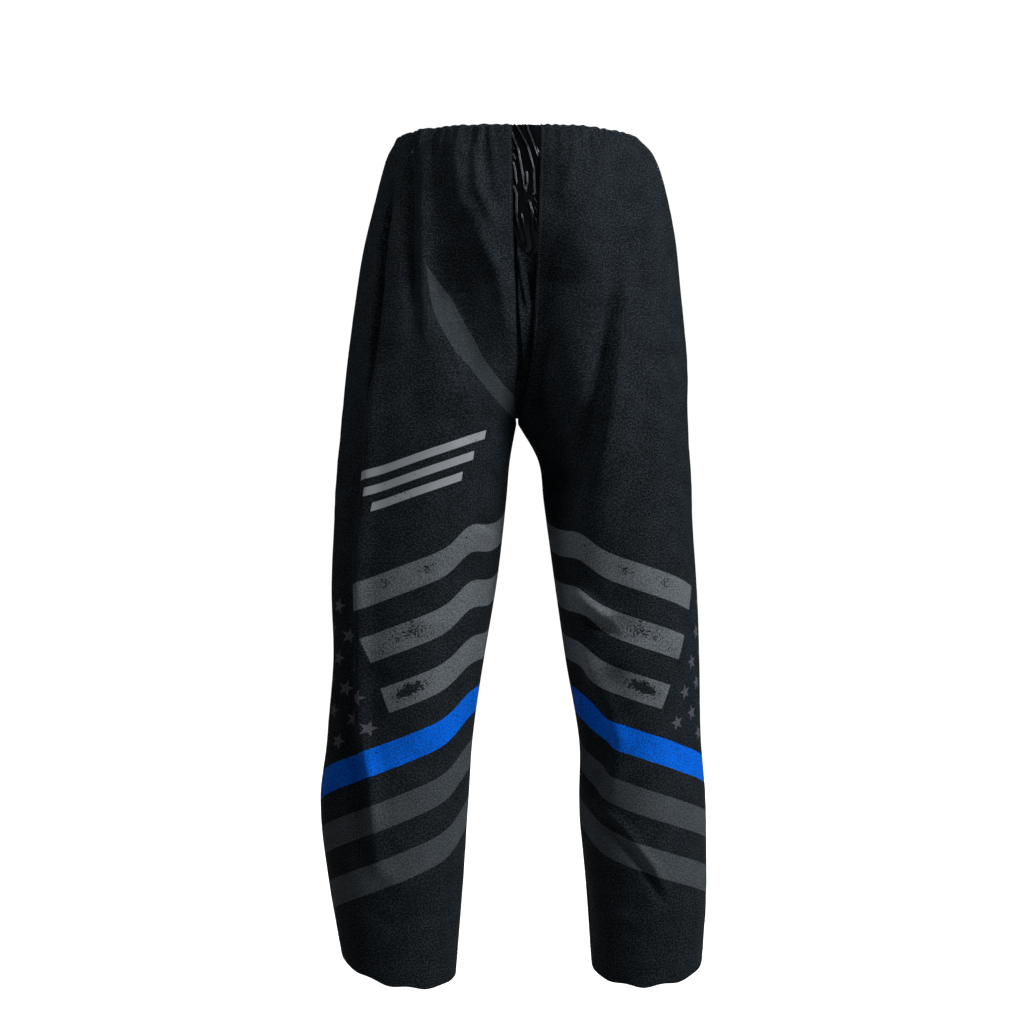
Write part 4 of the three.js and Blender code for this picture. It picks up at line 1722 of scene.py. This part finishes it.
@dataclass
class InnerStrip:
    """A flat strip that lies inside the cloth along the middle of the back."""

    cloth: Cloth
    name: str
    width: float
    top: float
    bottom: float
    inset: float
    thickness: float

    def build(self, material: bpy.types.Material, slot: str, node: str) -> None:
        """Makes the strip on the back's centre line and fixes it to the seat."""
        form, folds = self.cloth.form, self.cloth.folds
        z = np.arange(self.top, self.bottom, -0.003)[:, None]
        x = np.linspace(-self.width / 2, self.width / 2, 24)[None, :]
        points = np.empty((len(z), x.shape[1], 3))
        normals = np.empty_like(points)
        for side in Side:
            own = np.sign(x[0]) == side.value
            away = np.abs(x[:, own]) + 0 * z
            place, normal = form.point(side, Face.BACK, form.angle_at(side, away, z), z + 0 * away)
            lift = folds.lift(place, Face.BACK, form)
            lift = lift * smooth(away / folds.seam_hold) - folds.seam_pinch * bell(away, folds.seam_width)
            swell = folds.swell(place, Face.BACK)
            points[:, own] = place + swell + normal * (lift - self.inset)[..., None]
            normals[:, own] = normal
        cut = np.stack([x + 0 * z, z + 0 * x], axis=-1)
        piece = grid_object(self.name, points, {"Cut": cut}, -normals)
        piece.data.materials.append(material)
        thicken(piece, self.thickness)
        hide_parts(node)
        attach(piece, "seat")
        LOG.info("%s built", self.name)


@dataclass
class Elastic:
    """The band of elastic inside the waist casing."""

    cloth: Cloth
    top: float = -0.0050
    height: float = 0.022
    inset: float = 0.0036
    thickness: float = 0.0014

    def build(self, material: bpy.types.Material) -> None:
        """Makes the band as one closed ring and fixes it to the seat."""
        form = self.cloth.form
        z = np.linspace(self.top, self.top - self.height, 10)[:, None]
        runs = []
        for side, face, backwards in (
            (Side.RIGHT, Face.FRONT, True), (Side.RIGHT, Face.BACK, False),
            (Side.LEFT, Face.BACK, True), (Side.LEFT, Face.FRONT, False),
        ):
            share = np.linspace(0, 1, 60)[None, :]
            angle = share * form.angle_at(side, np.zeros_like(z), z)
            place, normal = form.point(side, face, angle, z + 0 * share)
            run = place - normal * self.inset
            runs.append((run[:, ::-1] if backwards else run, normal[:, ::-1] if backwards else normal))
        points = np.concatenate([run[:, :-1] for run, _ in runs] + [runs[0][0][:, :1]], axis=1)
        normals = np.concatenate([way[:, :-1] for _, way in runs] + [runs[0][1][:, :1]], axis=1)
        step = np.linalg.norm(np.diff(points, axis=1), axis=-1)
        along = np.concatenate([np.zeros((len(z), 1)), np.cumsum(step, axis=1)], axis=1)
        cut = np.stack([along, z + 0 * along], axis=-1)
        piece = grid_object("waist_elastic_band", points, {"Cut": cut}, normals)
        piece.data.materials.append(material)
        thicken(piece, self.thickness)
        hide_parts("waist_elastic")
        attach(piece, "seat")
        LOG.info("elastic built")


# ---------------------------------------------------------------------------------------------
# Studio
# ---------------------------------------------------------------------------------------------


Spot = tuple[float, float, float]


@dataclass
class Studio:
    """A pale floor, soft lights and a camera level with the middle of the trousers."""

    floor_drop: float = 0.085
    distance: float = 2.45
    frame_width: float = 1.224
    centre: tuple[float, float] = (-0.0084, -0.4452)
    sensor: float = 36.0

    def floor(self) -> None:
        """A large plane below the hems."""
        bpy.ops.mesh.primitive_plane_add(size=14, location=(0, 3, CAD_BOX[0][2] - self.floor_drop))
        plane = bpy.context.object
        plane.name = "studio_floor"
        material, graph, shader = Finishes.start("studio_floor")
        shader.inputs["Base Color"].default_value = (0.35, 0.35, 0.35, 1)
        shader.inputs["Roughness"].default_value = 0.9
        shader.inputs["Specular IOR Level"].default_value = 0.0
        shader.inputs["Emission Color"].default_value = (1, 1, 1, 1)
        seen = graph.node("ShaderNodeLightPath").outputs["Is Camera Ray"]
        graph.feed(shader.inputs["Emission Strength"], graph.product(seen, 1.05))
        plane.data.materials.append(material)

    def lamp(
        self, name: str, place: Spot, target: Spot, size: float, power: float, spread: float = math.pi
    ) -> None:
        """A square area light turned to a target."""
        light = bpy.data.lights.new(name, "AREA")
        light.shape, light.size, light.energy, light.spread = "SQUARE", size, power, spread
        lamp = bpy.data.objects.new(name, light)
        lamp.location = place
        way = np.array(target) - np.array(place)
        flat = math.hypot(way[0], way[1])
        lamp.rotation_euler = (math.atan2(flat, -way[2]), 0, math.atan2(-way[0], way[1]))
        bpy.context.scene.collection.objects.link(lamp)

    def world(self) -> None:
        """A white surround that the camera sees at full strength and the cloth at less."""
        world = bpy.data.worlds.new("studio")
        world.use_nodes = True
        bpy.context.scene.world = world
        graph = Graph(world.node_tree)
        back = next(n for n in world.node_tree.nodes if n.type == "BACKGROUND")
        back.inputs["Color"].default_value = (1, 1, 1, 1)
        seen = graph.node("ShaderNodeLightPath").outputs["Is Camera Ray"]
        graph.feed(back.inputs["Strength"], graph.math("MULTIPLY_ADD", seen, 1.0, 0.058))

    def camera(self) -> None:
        """A level camera in front, framing the whole garment."""
        data = bpy.data.cameras.new("camera")
        data.sensor_width = self.sensor
        data.lens = self.sensor * self.distance / self.frame_width
        data.clip_end = 50
        camera = bpy.data.objects.new("camera", data)
        camera.location = (self.centre[0], -self.distance, self.centre[1])
        camera.rotation_euler = (math.pi / 2, 0, 0)
        bpy.context.scene.collection.objects.link(camera)
        bpy.context.scene.camera = camera

    def build(self) -> None:
        """Sets up the whole studio."""
        self.floor()
        self.world()
        self.camera()
        self.lamp("key", (2.05, -1.42, 0.85), (0, 0, -0.25), 0.9, 108)
        self.lamp("top", (0.6, -0.60, 1.6), (0, 0, -0.2), 0.8, 22)
        self.lamp("back", (0.3, 2.6, 1.1), (0, 0, -0.4), 1.0, 120)
        self.lamp("left hip", (-2.1, -0.7, 0.9), (-0.17, 0, -0.15), 0.5, 0.65, math.radians(26))
        bpy.context.scene.view_settings.view_transform = "Standard"
        LOG.info("studio set")


def main() -> None:
    """Builds every piece in order."""
    logging.basicConfig(level=logging.INFO, format="%(name)s: %(message)s")
    Studio().build()
    kit = Finishes()
    cloth = Cloth()
    form = cloth.form
    marked_knit = PrintedKnit("marked_striped_knit", thigh_print=True).build(kit)
    striped_knit = PrintedKnit("striped_knit", thigh_print=False).build(kit)
    inside_knit = PlainKnit("knit_inner_face", (0.020, 0.021, 0.023, 1), (0.036, 0.038, 0.041, 1)).build(kit)
    gusset_knit = PlainKnit(
        "gusset_knit", (0.0012, 0.0022, 0.0032, 1), (0.0165, 0.0210, 0.0256, 1)
    ).build(kit)
    satin = Satin().build(kit)
    gusset_thread = Thread("gusset_thread", (0.010, 0.012, 0.014, 1), (0.050, 0.056, 0.064, 1)).build(kit)
    dark_thread = Thread("hem_thread", (0.004, 0.005, 0.006, 1), (0.013, 0.015, 0.018, 1)).build(kit)
    elastic = WovenBand("woven_elastic", (0.02, 0.02, 0.022, 1), (0.06, 0.06, 0.065, 1), 0.0022).build(kit)
    label = WovenBand("woven_label", (0.62, 0.62, 0.60, 1), (0.78, 0.78, 0.75, 1), 0.0010).build(kit)

    panels = LegPanels(cloth)
    for side in Side:
        for face in Face:
            marked = side is Side.RIGHT and face is Face.FRONT
            panels.build(side, face, marked_knit if marked else striped_knit, inside_knit)

    satin_strip = Gusset(
        cloth, "satin_gusset", top=-0.0022, bottom=-0.149, creases=SATIN_CREASES,
        cut=(0.062, 0.185), area=0.0085, folded=True, round_end=0.050,
    )
    satin_strip.build(satin, "satin", "front_gusset")
    knitted_strip = Gusset(
        cloth, "knitted_gusset", top=-0.096, bottom=-0.336, creases=LOWER_CREASES,
        cut=(0.048, 0.245), area=0.0100, inset=0.0031,
    )
    knitted_strip.build(gusset_knit, "gusset_knit", "lower_gusset")

    stitching = Stitching(cloth)
    for side, bottom in ((Side.RIGHT, -0.15), (Side.LEFT, -0.26)):
        rows = stitching.beside_gusset(side, bottom)
        name = f"{side.word}_gusset_stitch"
        stitching.make(f"{name}es", rows, gusset_thread, "seat", f"{name}ing")
    waist = stitching.around(-0.029, tuple(Side))
    stitching.make("waist_stitches", waist, dark_thread, "seat", "waist_stitching")
    for side in Side:
        rows = [row for height in (0.0165, 0.0215) for row in stitching.around(form.hem + height, (side,))]
        name = f"{side.word}_hem_stitch"
        stitching.make(f"{name}es", rows, dark_thread, f"{side.word}_shin", f"{name}ing")

    tape = InnerStrip(
        cloth, "back_seam_tape", width=0.012, top=-0.034, bottom=-0.30, inset=0.0022, thickness=0.0009
    )
    tape.build(gusset_knit, "gusset_knit", "centre_back_seam_tape")
    blank = InnerStrip(
        cloth, "blank_size_label", width=0.028, top=-0.006, bottom=-0.042, inset=0.0094, thickness=0.0005
    )
    blank.build(label, "label", "size_label")
    Elastic(cloth).build(elastic)


if __name__ == "__main__":
    main()
